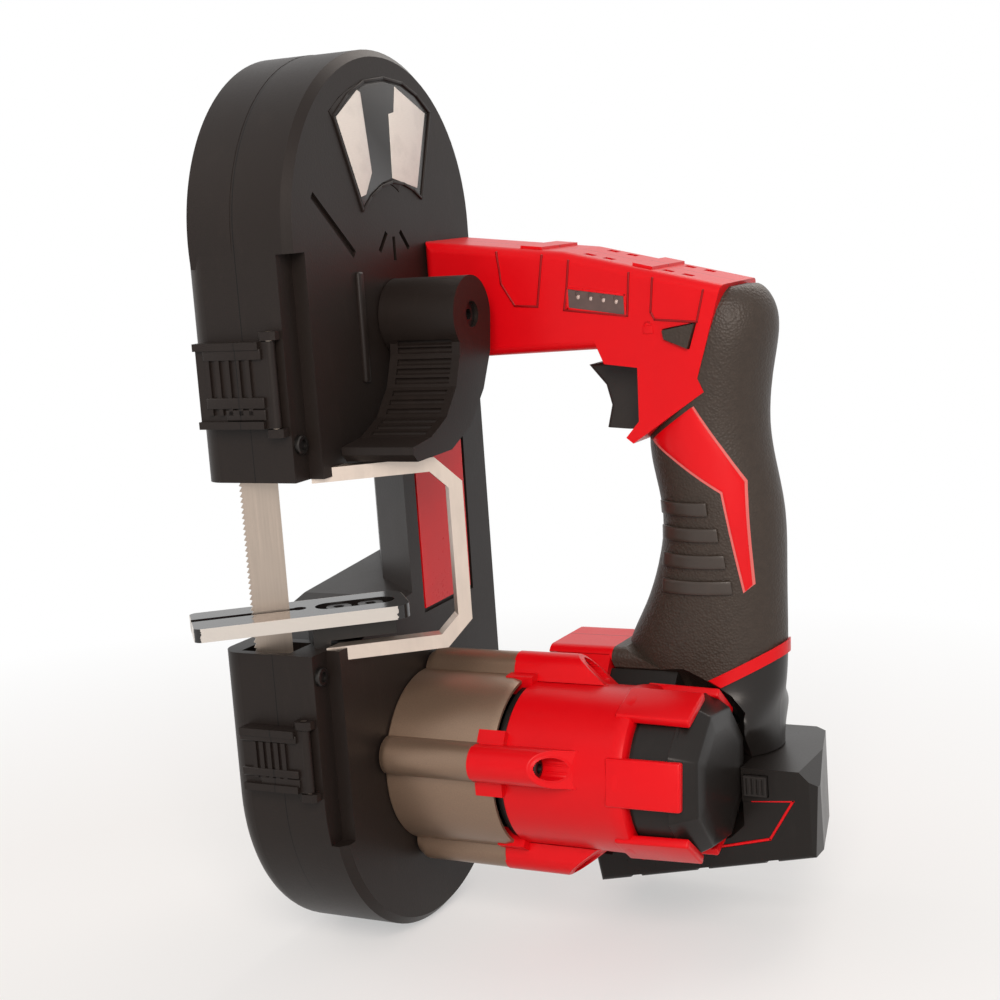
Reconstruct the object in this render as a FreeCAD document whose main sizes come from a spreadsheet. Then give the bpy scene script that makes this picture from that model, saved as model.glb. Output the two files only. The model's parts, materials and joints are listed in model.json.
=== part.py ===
"""Portable band saw with a battery grip, built as an assembly of separate pieces.

Millimetres. X runs from the wheel loop to the motor and grip, Y from the cutting run to the spine, Z up.
The origin is the blade's centre at the height of the shoe's work face.
"""
import FreeCAD, Part
import math
import operator
import os
import Sketcher

doc = FreeCAD.newDocument("PortableBandSaw")
sheet = doc.addObject("Spreadsheet::Sheet", "Params")
NODES = []
SIGNS = {"+": operator.add, "-": operator.sub, "*": operator.mul, "/": operator.truediv}


class Dim:
    """A size as a number together with the sheet formula that gives it."""

    def __init__(self, value, text):
        self.value = value
        self.text = text

    def __add__(self, other):
        return join(self, "+", other)

    def __radd__(self, other):
        return join(other, "+", self)

    def __sub__(self, other):
        return join(self, "-", other)

    def __rsub__(self, other):
        return join(other, "-", self)

    def __mul__(self, other):
        return join(self, "*", other)

    def __rmul__(self, other):
        return join(other, "*", self)

    def __truediv__(self, other):
        return join(self, "/", other)

    def __neg__(self):
        return join(0, "-", self)


def dim(size):
    """Any number as a Dim."""
    if isinstance(size, Dim):
        return size
    return Dim(float(size), "(%r)" % float(size))


def join(left, sign, right):
    left = dim(left)
    right = dim(right)
    return Dim(SIGNS[sign](left.value, right.value), "(%s %s %s)" % (left.text, sign, right.text))


def size(name, value, meaning):
    """One driving size: a row of the sheet and the Dim that follows it."""
    size.row += 1
    sheet.set("A%d" % size.row, meaning)
    sheet.set("B%d" % size.row, str(value))
    sheet.setAlias("B%d" % size.row, name)
    return Dim(float(value), "Params." + name)


size.row = 0

wheel_radius = size("wheel_radius", 51.5, "radius of the blade's centre line on the wheels")
axle_span = size("axle_span", 182, "distance between the wheel axles")
idler_height = size("idler_height", 120.5, "idler axle above the work face")
rim_radius = size("rim_radius", 60, "outer radius of the loop's ends")
shell_wall = size("shell_wall", 3, "wall of the loop's shells")
front_face = size("front_face", 25.6, "front face of the loop from the blade plane")
rear_face = size("rear_face", 16.4, "rear face of the loop behind the blade plane")
seam = size("seam", 5, "joint plane of housing and cover")
block_side = size("block_side", 20.4, "side face of the guide blocks")
ledge = size("ledge", 8.5, "width of the stepped strip beside the latches")
spine_front = size("spine_front", 48.9, "throat wall at the front face")
spine_seam = size("spine_seam", 64, "throat wall at the joint plane")
spine_rear = size("spine_rear", 98, "throat wall at the rear face")
throat_top = size("throat_top", 44.5, "underside of the upper guide block")
throat_floor = size("throat_floor", 12.1, "lower guide block below the work face")
roof_step = size("roof_step", 8, "rise of the lower roof over the drive wheel")

blade_width = size("blade_width", 12.7, "blade width")
blade_thick = size("blade_thick", 0.5, "blade thickness")
blade_twist = size("blade_twist", 40, "turn of the cutting run, degrees")
tooth_pitch = size("tooth_pitch", 1.8, "tooth spacing")
tooth_depth = size("tooth_depth", 0.9, "tooth depth")
guide_gap = size("guide_gap", 0.06, "blade to guide roller")
roller_radius = size("roller_radius", 3, "guide roller radius")
roller_length = size("roller_length", 6, "guide roller length")

wheel_width = size("wheel_width", 13, "wheel width")
tyre_thick = size("tyre_thick", 1.4, "tyre thickness")
run_gap = size("run_gap", 0.08, "running clearance")
idler_axle_radius = size("idler_axle_radius", 4, "idler axle radius")
output_radius = size("output_radius", 5, "output shaft radius")
lever_y = size("lever_y", 53.5, "tension lever axis from the blade")
lever_z = size("lever_z", 91.5, "tension lever axis above the work face")
lever_hub = size("lever_hub", 13, "tension lever hub radius")
lever_end = size("lever_end", 54.6, "end of the tension lever")
cam_throw = size("cam_throw", 1.5, "eccentric of the tension cam")

shoe_length = size("shoe_length", 71, "work shoe length")
shoe_width = size("shoe_width", 26, "work shoe width")
shoe_thick = size("shoe_thick", 4.5, "work shoe plate")
bar_plane = size("bar_plane", 9.7, "throat bar plane beside the blade plane")
bar_reach = size("bar_reach", 65, "throat bar reach along the blade plane")
bar_wide = size("bar_wide", 4.6, "throat bar width")
bar_thick = size("bar_thick", 6, "throat bar thickness")

gear_module = size("gear_module", 0.9, "planetary gear module")
gear_width = size("gear_width", 9, "planetary gear face")
case_radius = size("case_radius", 33, "gearcase radius")
case_end = size("case_end", 68, "end of the gearcase")
motor_radius = size("motor_radius", 36, "motor housing radius")
motor_end = size("motor_end", 114, "end of the motor housing's sleeve")
cap_end = size("cap_end", 134, "end of the motor cap")
cap_radius = size("cap_radius", 26, "motor cap radius at its end")

grip_mid = size("grip_mid", 92.5, "middle plane of handle and battery")
grip_width = size("grip_width", 36, "handle width")
grip_wall = size("grip_wall", 3, "handle shell wall")
stem_x = size("stem_x", 123, "battery stem axis from the blade plane")
stem_side = size("stem_side", 6, "battery stem axis beyond the handle's middle plane")
stem_radius = size("stem_radius", 10.5, "battery stem radius")
battery_width = size("battery_width", 51, "battery base width")

drive_height = idler_height - axle_span
stem_y = grip_mid + stem_side
IDLER = (0, wheel_radius, idler_height)
DRIVE = (0, wheel_radius, drive_height)


def bind(obj, prop, amount):
    """Ties a property to the sheet, or sets a plain number."""
    if isinstance(amount, Dim):
        obj.setExpression(prop, amount.text)
    else:
        setattr(obj, prop, amount)


def place(obj, at, axis=None, angle=0):
    """Puts an object at a point that follows the sheet, turned about an axis."""
    spin = FreeCAD.Rotation(FreeCAD.Vector(*(axis or (0, 0, 1))), dim(angle).value)
    obj.Placement = FreeCAD.Placement(FreeCAD.Vector(*[dim(c).value for c in at]), spin)
    for letter, c in zip("xyz", at):
        if isinstance(c, Dim):
            obj.setExpression("Placement.Base." + letter, c.text)
    if isinstance(angle, Dim):
        obj.setExpression("Placement.Rotation.Angle", angle.text)


def circle(x, y, radius):
    """A circle for a sketch, its centre and radius bound to the sheet."""
    def draw(sketch):
        centre = FreeCAD.Vector(dim(x).value, dim(y).value, 0)
        geo = sketch.addGeometry(Part.Circle(centre, FreeCAD.Vector(0, 0, 1), dim(radius).value))
        pin(sketch, geo, 3, x, y)
        fix(sketch, "Radius", radius, geo)
    return draw


def outline(points):
    """A closed outline of straight edges through points bound to the sheet."""
    def draw(sketch):
        spots = [FreeCAD.Vector(dim(x).value, dim(y).value, 0) for x, y in points]
        first = sketch.GeometryCount
        for here, there in zip(spots, spots[1:] + spots[:1]):
            sketch.addGeometry(Part.LineSegment(here, there))
        for i, (x, y) in enumerate(points):
            nxt = first + (i + 1) % len(points)
            sketch.addConstraint(Sketcher.Constraint("Coincident", first + i, 2, nxt, 1))
            pin(sketch, first + i, 1, x, y)
    return draw


def rect(x0, y0, x1, y1):
    return outline([(x0, y0), (x1, y0), (x1, y1), (x0, y1)])


def pin(sketch, geo, pos, x, y):
    fix(sketch, "DistanceX", x, -1, 1, geo, pos)
    fix(sketch, "DistanceY", y, -1, 1, geo, pos)


def fix(sketch, kind, amount, *where):
    index = sketch.addConstraint(Sketcher.Constraint(kind, *where, dim(amount).value))
    if isinstance(amount, Dim):
        sketch.setExpression("Constraints[%d]" % index, amount.text)


class Piece:
    """One sub-part as a body; sketches sit on its origin planes, start and length run along +X, +Y or +Z."""

    def __init__(self, label, at=(0, 0, 0), axis=None, angle=0, keep=True):
        self.body = doc.addObject("PartDesign::Body", label)
        self.body.Label = label
        self.body.AllowCompound = True
        place(self.body, at, axis, angle)
        if keep:
            NODES.append(self.body)

    def origin(self, role):
        return [part for part in self.body.Origin.OriginFeatures if part.Role == role][0]

    def sketch(self, plane, shapes, start):
        sketch = self.body.newObject("Sketcher::SketchObject", self.body.Label + "_sketch")
        sketch.AttachmentSupport = [(self.origin(plane + "_Plane"), "")]
        sketch.MapMode = "FlatFace"
        start = -start if plane == "XZ" else start
        sketch.AttachmentOffset.Base.z = dim(start).value
        sketch.setExpression("AttachmentOffset.Base.z", dim(start).text)
        for shape in shapes:
            shape(sketch)
        return sketch

    def add(self, kind, **links):
        feature = self.body.newObject("PartDesign::" + kind, self.body.Label + "_" + kind.lower())
        for prop, amount in links.items():
            bind(feature, prop, amount)
        self.body.Tip = feature
        doc.recompute()
        if not feature.isValid() or feature.Shape.isNull():
            raise RuntimeError("%s of %s failed" % (kind, self.body.Label))
        return self

    def volume(self):
        return self.body.Tip.Shape.Volume

    def pad(self, plane, shapes, start, length):
        profile = self.sketch(plane, shapes, start)
        return self.add("Pad", Profile=profile, Length=length, Reversed=plane == "XZ")

    def cut(self, plane, shapes, start, length):
        before = self.volume()
        profile = self.sketch(plane, shapes, start)
        self.add("Pocket", Profile=profile, Length=length, Reversed=plane != "XZ")
        if self.volume() > before - 1e-3:
            raise RuntimeError("nothing was cut from " + self.body.Label)
        return self

    def turn(self, points):
        """A turned solid about the body's X axis; the points are (along X, radius)."""
        profile = self.sketch("XY", [outline(points)], 0)
        return self.add("Revolution", Profile=profile, ReferenceAxis=(profile, ["H_Axis"]), Angle=360.0)

    def repeat(self, count):
        """The last feature repeated evenly about the body's X axis."""
        return self.add("PolarPattern", Originals=[self.body.Tip], Axis=(self.origin("X_Axis"), [""]),
                        Angle=360.0, Occurrences=count)

    def dress(self, kind, amount, test):
        """A fillet or chamfer on the edges whose box and shape pass a test."""
        edges = self.body.Tip.Shape.Edges
        names = ["Edge%d" % (i + 1) for i, e in enumerate(edges) if test(e.BoundBox, e)]
        prop = "Radius" if kind == "Fillet" else "Size"
        return self.add(kind, Base=(self.body.Tip, names), **{prop: amount})


def combine(kind, label, parts, keep=True):
    """A boolean of finished pieces: Cut takes two, MultiFuse and MultiCommon take several."""
    obj = doc.addObject("Part::" + kind, label)
    obj.Label = label
    shapes = [part.body if isinstance(part, Piece) else part for part in parts]
    if kind == "Cut":
        obj.Base, obj.Tool = shapes
    else:
        obj.Shapes = shapes
    doc.recompute()
    if not obj.isValid() or not obj.Shape.isValid() or not obj.Shape.Solids:
        raise RuntimeError("boolean failed for " + label)
    for shape in shapes:
        if shape in NODES:
            NODES.remove(shape)
    if keep:
        NODES.append(obj)
    return obj


def tool(label, *place_args):
    """A body used only to cut or to build with."""
    return Piece(label, *place_args, keep=False)


def coded(label, shape, at=(0, 0, 0)):
    """A shape that no sketch gives, such as a twisted strip or a coil."""
    obj = doc.addObject("Part::Feature", label)
    obj.Label = label
    obj.Shape = shape
    place(obj, at)
    NODES.append(obj)
    return obj


def stadium(piece, radius, start, length):
    """The loop's outline: a disc at each wheel and the strip between."""
    left = wheel_radius - radius
    piece.pad("YZ", [circle(wheel_radius, idler_height, radius)], start, length)
    piece.pad("YZ", [rect(left, drive_height, wheel_radius + radius, idler_height)], start, length)
    piece.pad("YZ", [circle(wheel_radius, drive_height, radius)], start, length)
    return piece


def throat(label, grow):
    """The gap for the work: slanted in plan so long work clears the spine, stepped over the drive wheel."""
    out = 0.85 * grow
    front_slope = (spine_seam - spine_front) / (front_face - seam)
    rear_slope = (spine_rear - spine_seam) / (seam + rear_face)
    far = 14
    plan = tool(label + "_plan")
    plan.pad("XY", [outline([
        (front_face + far, -60),
        (front_face + far, spine_front + out - far * front_slope + out * front_slope),
        (seam + out, spine_seam + out),
        (-rear_face - far, spine_rear + out + (far + out) * rear_slope),
        (-rear_face - far, -60)])], -60, 200)
    floor = -throat_floor - grow
    step = floor + roof_step
    side = tool(label + "_side")
    side.pad("YZ", [outline([
        (-60, floor), (12, floor), (45, step), (180, step + 12),
        (180, throat_top + grow), (-60, throat_top + grow)])], -60, 160)
    return combine("MultiCommon", label, [plan, side], keep=False)


def sector(radius0, radius1, angle0, angle1, steps=8):
    """Points of a ring sector about the idler axle, angles in degrees."""
    points = []
    for radius, a, b in ((radius0, angle0, angle1), (radius1, angle1, angle0)):
        for i in range(steps + 1):
            turn = math.radians(a + (b - a) * i / steps)
            points.append((wheel_radius + radius * math.cos(turn), idler_height + radius * math.sin(turn)))
    return points


loop_left = wheel_radius - rim_radius
loop_right = wheel_radius + rim_radius
gap = throat("throat_gap", dim(0))
gap_walls = throat("throat_walls", shell_wall)
hinge_y = loop_right + 3.7
ledge_zones = ((throat_top - 10, idler_height - 4), (drive_height - 15, -throat_floor + 10))

turned = ((0, 0, 0), (0, 0, 1), blade_twist)
bar_top = throat_top + 3
bar_low = -throat_floor - 4
knee = 8.7
bar = tool("bar_whole", *turned)
bar.pad("XZ", [outline([
    (12, bar_top), (bar_reach - knee, bar_top), (bar_reach, bar_top - knee), (bar_reach, bar_low + knee),
    (bar_reach - knee, bar_low), (12, bar_low), (12, bar_low + bar_wide),
    (bar_reach - knee - 0.4 * bar_wide, bar_low + bar_wide),
    (bar_reach - bar_wide, bar_low + knee + 0.4 * bar_wide),
    (bar_reach - bar_wide, bar_top - knee - 0.4 * bar_wide),
    (bar_reach - knee - 0.4 * bar_wide, bar_top - bar_wide),
    (12, bar_top - bar_wide)])], -bar_plane - bar_thick / 2, bar_thick)
flush = tool("bar_flush")
flush.pad("XY", [rect(-20, -40, block_side, 40)], -60, 160)
throat_bar = combine("Cut", "throat_bar", [bar, flush])

solid = stadium(tool("housing_solid"), rim_radius, seam, front_face - seam)
solid.dress("Chamfer", 2.5, lambda b, e: b.XMin > front_face.value - 0.01)
cavity = tool("housing_cavity")
stadium(cavity, rim_radius - shell_wall, seam - 1, front_face - seam + 1 - shell_wall)
for low, high in ledge_zones:
    solid.cut("YZ", [rect(loop_left - 5, low, loop_left + ledge, high)], block_side, 20)
    inner_ledge = loop_left + ledge + shell_wall
    cavity.cut("YZ", [rect(loop_left - 5, low - shell_wall, inner_ledge, high + shell_wall)],
               block_side - shell_wall, 20)

PANEL = [(58, -11.2), (91.3, -10.3), (92.3, 62), (74, 70), (58, 62)]
panel_edge = [(y + (1.4 if y > 75 else -1.4), z + (1.4 if z > 25 else -1.4)) for y, z in PANEL]
solid.cut("YZ", [outline(panel_edge)], front_face - 1.2, 5)
solid.cut("YZ", [outline(sector(rim_radius - 44, rim_radius - 10, 52, 128))], front_face - 0.7, 5)
solid.cut("YZ", [outline([(6.1, 133), (7.6, 135), (30.6, 115), (29, 112.8)])], front_face - 1.2, 5)
vents = tool("housing_vents")
for angle in (230, 270, 310):
    lean = math.radians(angle)
    across = (math.sin(lean), -math.cos(lean))
    along = (math.cos(lean), math.sin(lean))
    corners = []
    for reach, half in ((7, -0.9), (15, -0.9), (15, 0.9), (7, 0.9)):
        corners.append((wheel_radius + 4 + along[0] * reach + across[0] * half,
                        idler_height + 5 + along[1] * reach + across[1] * half))
    vents.pad("YZ", [outline(corners)], front_face - 5, 10)

hollow = combine("Cut", "housing_hollow", [cavity, gap_walls], keep=False)
c_shape = combine("Cut", "housing_c", [solid, gap], keep=False)
open_shell = combine("Cut", "housing_open", [c_shape, hollow], keep=False)

bosses = tool("housing_bosses")
bosses.pad("YZ", [circle(wheel_radius, drive_height, 17)], 12, front_face - 12 - shell_wall)
bosses.pad("YZ", [circle(lever_y, lever_z, lever_hub - 4)], front_face - shell_wall - 3, 3)
bosses.pad("YZ", [rect(wheel_radius - 8, idler_height - 16, wheel_radius + 8, idler_height + 30)],
           18, front_face - shell_wall - 18)
LATCHES = (("upper_latch", 62.6, 90, -11), ("lower_latch", -57, -36, -7))
latch_pin = (16.5, loop_left - 2.1)
for name, low, high, tip in LATCHES:
    for z in (low - 3, high + 0.3):
        lug = outline([(13.4, loop_left + 1), (13.4, loop_left - 3), (14.6, loop_left - 4.2),
                       (18.4, loop_left - 4.2), (19.6, loop_left - 3), (19.6, loop_left + 1)])
        bosses.pad("XY", [lug], z, 2.7)
for z in (-40, 30, 90):
    knuckle = circle(seam, hinge_y, 3.4)
    web = rect(seam + 0.1, loop_right - 1.5, seam + 3.4, hinge_y)
    bosses.pad("XY", [knuckle], z, 10)
    bosses.pad("XY", [web], z, 10)
holes = tool("housing_holes")
holes.pad("YZ", [circle(wheel_radius, drive_height, 11)], 8, front_face)
holes.pad("YZ", [circle(lever_y, lever_z, output_radius + run_gap)], 8, front_face)
holes.pad("XY", [rect(-9, loop_left + 3, 10, 8)], throat_top - 2, 8)
holes.pad("XY", [rect(-9, loop_left + 3, 10, 8)], -throat_floor - 6, 8)
holes.pad("XY", [circle(seam, hinge_y, 1.5)], -60, 180)
for name, low, high, tip in LATCHES:
    holes.pad("XY", [circle(*latch_pin, 1.1)], low - 4, high - low + 8)
whole = combine("MultiFuse", "housing_whole", [open_shell, bosses], False)
cleared = combine("Cut", "housing_cleared", [whole, holes], False)
socketed = combine("Cut", "housing_socketed", [cleared, vents], False)
wheel_housing = combine("Cut", "wheel_housing", [socketed, throat_bar])
NODES.append(throat_bar)

spine_panel = Piece("spine_panel").pad("YZ", [outline(PANEL)], front_face - 1.2, 1)

back = stadium(tool("cover_solid"), rim_radius, -rear_face, rear_face + seam)
back.dress("Fillet", 8, lambda b, e: b.XMax < 0.01 - rear_face.value)
back_cavity = stadium(tool("cover_cavity"), rim_radius - shell_wall, shell_wall - rear_face, rear_face + seam)
back_cavity.dress("Fillet", 6, lambda b, e: b.XMax < shell_wall.value - rear_face.value + 0.01)
back_hollow = combine("Cut", "cover_hollow", [back_cavity, gap_walls], False)
back_c = combine("Cut", "cover_c", [back, gap], False)
back_shell = combine("Cut", "cover_shell", [back_c, back_hollow], False)
cover_knuckles = tool("cover_knuckles")
for z in (-29.8, 40.2, 100.2):
    cover_knuckles.pad("XY", [circle(seam, hinge_y, 3.4)], z, 9.6)
    cover_knuckles.pad("XY", [rect(seam - 3.4, loop_right - 1.5, seam, hinge_y)], z, 9.6)
cover_holes = tool("cover_holes")
cover_holes.pad("XY", [circle(seam, hinge_y, 1.5 + run_gap)], -60, 180)
cover_holes.pad("XY", [rect(-9, loop_left + 3, 10, 8)], throat_top - 2, 8)
cover_holes.pad("XY", [rect(-9, loop_left + 3, 10, 8)], -throat_floor - 6, 8)
cover_whole = combine("MultiFuse", "cover_whole", [back_shell, cover_knuckles], False)
rear_cover = combine("Cut", "rear_cover", [cover_whole, cover_holes])

hinge_pin = Piece("cover_hinge_pins")
for z in (-40, 30, 90):
    hinge_pin.pad("XY", [circle(seam, hinge_y, 1.5)], z, 20)

latch_pins = Piece("latch_pins")
for label, low, high, tip in LATCHES:
    latch = Piece(label)
    face = loop_left - 3.8
    latch.pad("XY", [rect(tip, face, latch_pin[0], loop_left - 0.35)], low, high - low)
    latch.pad("XY", [circle(*latch_pin, 1.75)], low, high - low)
    latch.cut("XY", [circle(*latch_pin, 1.1 + run_gap)], low - 1, high - low + 2)
    for z in (low, high - 2.4):
        latch.pad("XY", [rect(tip, face - 1.5, 14, face)], z, 2.4)
    for i in range(5):
        x = tip + 4 + i * (14 - tip - 9.6) / 4
        latch.pad("XY", [rect(x, face - 0.9, x + 1.6, face)], low + 4.4, high - low - 8.8)
    latch_pins.pad("XY", [circle(*latch_pin, 1.1)], low - 3, high - low + 6)

guide_heights = (throat_top + 7, -throat_floor - 7)
guide_side = roller_radius + blade_thick / 2 + guide_gap
guide_pins = Piece("guide_pins", *turned)
plates = tool("guide_plates", *turned)
feet = tool("guide_feet")
number = 0
for z in guide_heights:
    plates.pad("YZ", [rect(-7, z - 2.9, 7, z + 2.9)], 8.5, 4)
    feet.pad("XY", [rect(12.3, loop_left + ledge + 3.1, front_face - shell_wall, loop_left + ledge + 6.5)],
             z - 2.9, 5.8)
    for side in (-1, 1):
        number += 1
        guide_pins.pad("YZ", [circle(side * guide_side, z, 1.2)], 0, 11.5)
        roller = Piece("guide_roller_%d" % number, *turned)
        rings = [circle(side * guide_side, z, radius) for radius in (roller_radius, 1.2 + run_gap)]
        roller.pad("YZ", rings, 0.5, roller_length)
plate_holes = tool("guide_plate_holes", *turned)
for z in guide_heights:
    for side in (-1, 1):
        plate_holes.pad("YZ", [circle(side * guide_side, z, 1.2)], 0, 11.5)
plates = combine("Cut", "guide_bored", [plates, plate_holes], False)
combine("MultiFuse", "guide_brackets", [plates, feet])


def strip(height, angle):
    """Wire of the blade's cross-section at a height, turned by an angle in degrees."""
    half = blade_width.value / 2
    thin = blade_thick.value / 2
    corners = [(-half, -thin), (half, -thin), (half, thin), (-half, thin)]
    turn = FreeCAD.Rotation(FreeCAD.Vector(0, 0, 1), angle)
    points = [turn.multVec(FreeCAD.Vector(x, y, 0)) + FreeCAD.Vector(0, 0, height) for x, y in corners]
    return Part.makePolygon(points + points[:1])


def twisted(start, end, angle):
    """A length of blade that turns smoothly from flat on the wheel to the guide's angle."""
    wires = []
    for i in range(9):
        part = i / 8
        wires.append(strip(start + (end - start) * part, angle * part * part * (3 - 2 * part)))
    return Part.makeLoft(wires, True, False)


def toothed(low, high, angle):
    """The cutting run between the guides with its teeth."""
    half = blade_width.value / 2
    pitch = tooth_pitch.value
    edge = [FreeCAD.Vector(half, 0, low), FreeCAD.Vector(half, 0, high)]
    edge.append(FreeCAD.Vector(-half, 0, high))
    for i in range(int((high - low) / pitch)):
        top = high - i * pitch
        edge.append(FreeCAD.Vector(-half, 0, top - 0.2 * pitch))
        edge.append(FreeCAD.Vector(tooth_depth.value - half, 0, top - 0.45 * pitch))
    edge.append(FreeCAD.Vector(-half, 0, low))
    face = Part.Face(Part.makePolygon(edge + edge[:1]))
    face.translate(FreeCAD.Vector(0, -blade_thick.value / 2, 0))
    run = face.extrude(FreeCAD.Vector(0, blade_thick.value, 0))
    run.rotate(FreeCAD.Vector(), FreeCAD.Vector(0, 0, 1), angle)
    return run


def half_ring(height, side):
    """The blade round the outer half of a wheel."""
    width = blade_width.value
    radius = wheel_radius.value
    thin = blade_thick.value / 2
    centre = FreeCAD.Vector(-width / 2, radius, height)
    axis = FreeCAD.Vector(1, 0, 0)
    ring = Part.makeCylinder(radius + thin, width, centre, axis).cut(
        Part.makeCylinder(radius - thin, width, centre, axis))
    reach = 2 * radius
    low = height if side > 0 else height - reach
    return ring.common(Part.makeBox(width, 2 * reach, reach, FreeCAD.Vector(-width / 2, radius - reach, low)))


def band():
    """The whole blade: two half rings, the return strip, two twists and the toothed run, as one solid."""
    top = idler_height.value
    bottom = drive_height.value
    high = throat_top.value + 13
    low = -throat_floor.value - 11
    angle = blade_twist.value
    side = 2 * wheel_radius.value - blade_thick.value / 2
    corner = FreeCAD.Vector(-blade_width.value / 2, side, bottom)
    back = Part.makeBox(blade_width.value, blade_thick.value, top - bottom, corner)
    bends = [half_ring(top, 1), half_ring(bottom, -1)]
    runs = bends + [back, twisted(top, high, angle), twisted(bottom, low, angle)]
    return toothed(low, high, angle).multiFuse(runs).removeSplitter()


blade = coded("blade", band())
print("blade solids", len(blade.Shape.Solids))

tyre_radius = wheel_radius - blade_thick / 2 - run_gap
rim_out = tyre_radius - tyre_thick
rim_in = rim_out - 6
half_width = wheel_width / 2


def wheel(label, at, bore, hub):
    """A band wheel with a web and five lightening holes, and its tyre."""
    piece = Piece(label, at)
    piece.turn([(-half_width, bore), (half_width, bore), (half_width, hub), (2, hub), (2, rim_in),
                (half_width, rim_in), (half_width, rim_out), (-half_width, rim_out),
                (-half_width, rim_in), (-2, rim_in), (-2, hub), (-half_width, hub)])
    piece.cut("YZ", [circle(0, (hub + rim_in) / 2, 8)], -5, 10)
    piece.repeat(5)
    tyre = Piece(label.replace("wheel", "tyre"), at)
    tyre.pad("YZ", [circle(0, 0, tyre_radius), circle(0, 0, rim_out)], 0.3 - half_width, wheel_width - 0.6)
    return piece


wheel("idler_wheel", IDLER, 9, 13)
wheel("drive_wheel", DRIVE, output_radius, 14)
idler_bearing = Piece("idler_bearing", IDLER)
idler_bearing.pad("YZ", [circle(0, 0, 9), circle(0, 0, idler_axle_radius + run_gap)], -6, 12)
idler_axle = Piece("idler_axle", IDLER).pad("YZ", [circle(0, 0, idler_axle_radius)], -7.5, 20.5)
idler_axle.pad("YZ", [circle(0, 0, idler_axle_radius + 2)], -9, 1.5)

cam_radius = 8
carriage_low = lever_z - idler_height + cam_radius + cam_throw + 0.4
slide = Piece("tension_slide", IDLER)
slide.pad("YZ", [rect(-12, carriage_low, 12, 16)], 11, 6.9)
slide.pad("YZ", [rect(-12, -14, -8.1, 16)], 17.9, 3)
slide.pad("YZ", [rect(8.1, -14, 12, 16)], 17.9, 3)
slide.cut("YZ", [circle(0, 0, idler_axle_radius)], 10, 3)
slide.cut("YZ", [rect(-4, carriage_low + 3, 4, -5.5)], 5, 20)


def coil(radius, wire, pitch, length):
    """A spring of square wire as one unbroken coil about Z, starting at the origin's height."""
    path = Part.makeHelix(pitch, length, radius)
    start = FreeCAD.Vector(radius, 0, 0)
    corners = [start + FreeCAD.Vector(x * wire, 0, z * wire) for x, z in ((-1, -1), (1, -1), (1, 1), (-1, 1))]
    section = Part.makePolygon(corners + corners[:1])
    return Part.Wire(path.Edges).makePipeShell([section], True, True)


spring_low = carriage_low + 3.8
spring_pitch = 1.9
spring_wire = 0.55
print("spring coil gap", round(spring_pitch - 2 * spring_wire, 2))
coded("tension_spring", coil(3, spring_wire, spring_pitch, -5.5 - spring_low.value - 0.8),
      (14.45, wheel_radius, idler_height + spring_low))

shaft = Piece("tension_shaft", (0, lever_y, lever_z))
shaft.pad("YZ", [circle(0, cam_throw, cam_radius)], 11, 6)
shaft.pad("YZ", [circle(0, 0, output_radius)], 17, lever_end - 21)

lever = Piece("tension_lever")
hub_start = front_face + 0.4
lever.pad("YZ", [circle(lever_y, lever_z, lever_hub)], hub_start, lever_end - hub_start)
outer_edge = [(12.8, -2.5), (11, -13.5), (4.5, -25.5), (-6.5, -36.5), (-20.5, -42.5), (-43, -43)]
inner_edge = [(-45.5, -40.5), (-45.5, -38), (-33.5, -36.5), (-22.5, -31.5), (-14.5, -22.5),
              (-10.5, -12.5), (-9.5, -3.5)]
lever.pad("YZ", [outline([(lever_y + y, lever_z + z) for y, z in outer_edge + inner_edge])],
          hub_start + 2, lever_end - hub_start - 2)
lever.cut("YZ", [circle(lever_y, lever_z, output_radius)], hub_start - 1, lever_end - hub_start - 2.6)
lever.cut("YZ", [circle(lever_y, lever_z, 4.4)], lever_end - 4, 6)
for (y0, z0), (y1, z1) in zip(inner_edge[2:6], inner_edge[3:7]):
    for part in (0.2, 0.5, 0.8):
        groove = circle(lever_y + y0 + (y1 - y0) * part, lever_z + z0 + (z1 - z0) * part, 1.1)
        lever.cut("YZ", [groove], hub_start + 5, lever_end - hub_start - 8)
lever_screw = Piece("lever_screw", (0, lever_y, lever_z))
lever_screw.pad("YZ", [circle(0, 0, 4.3)], lever_end - 4, 2.6)
lever_screw.cut("YZ", [outline([(2 * math.cos(math.radians(a)), 2 * math.sin(math.radians(a)))
                                for a in range(0, 360, 60)])], lever_end - 2.9, 3)

shoe_left = -26
shoe_near = -14
shoe = Piece("work_shoe", *turned)
shoe.pad("XY", [rect(shoe_left, shoe_near, shoe_left + shoe_length, shoe_near + shoe_width)],
         -shoe_thick, shoe_thick)
shoe.dress("Fillet", 6, lambda b, e: b.ZLength > 4 and b.XMin > 0)
shoe.dress("Fillet", 3, lambda b, e: b.ZLength > 4 and b.XMax < -20)
shoe.cut("XY", [rect(shoe_left - 1, -1.7, 9.5, 1.7), ], -shoe_thick - 1, shoe_thick + 2)
shoe.cut("XY", [circle(9.5, 0, 2.4)], -shoe_thick - 1, shoe_thick + 2)
slot_ends = (19.5, 36.5)
for radius, low in ((2.8, -shoe_thick - 1), (4.8, -2.6)):
    shoe.cut("XY", [rect(slot_ends[0], -1 - radius, slot_ends[1], -1 + radius)], low, shoe_thick + 2)
    for s in slot_ends:
        shoe.cut("XY", [circle(s, -1, radius)], low, shoe_thick + 2)
shoe_screws = Piece("shoe_screws", *turned)
for s in (22.6, 33.2):
    shoe_screws.pad("XY", [circle(s, -1, 4.2)], -2.6, 2)
    shoe_screws.pad("XY", [circle(s, -1, 2.2)], -shoe_thick - 4, shoe_thick + 1.5)
    shoe_screws.cut("XY", [outline([(s + 2 * math.cos(math.radians(a)), 2 * math.sin(math.radians(a)) - 1)
                                    for a in range(0, 360, 60)])], -1.7, 3)
stand = tool("shoe_stand", *turned)
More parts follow.
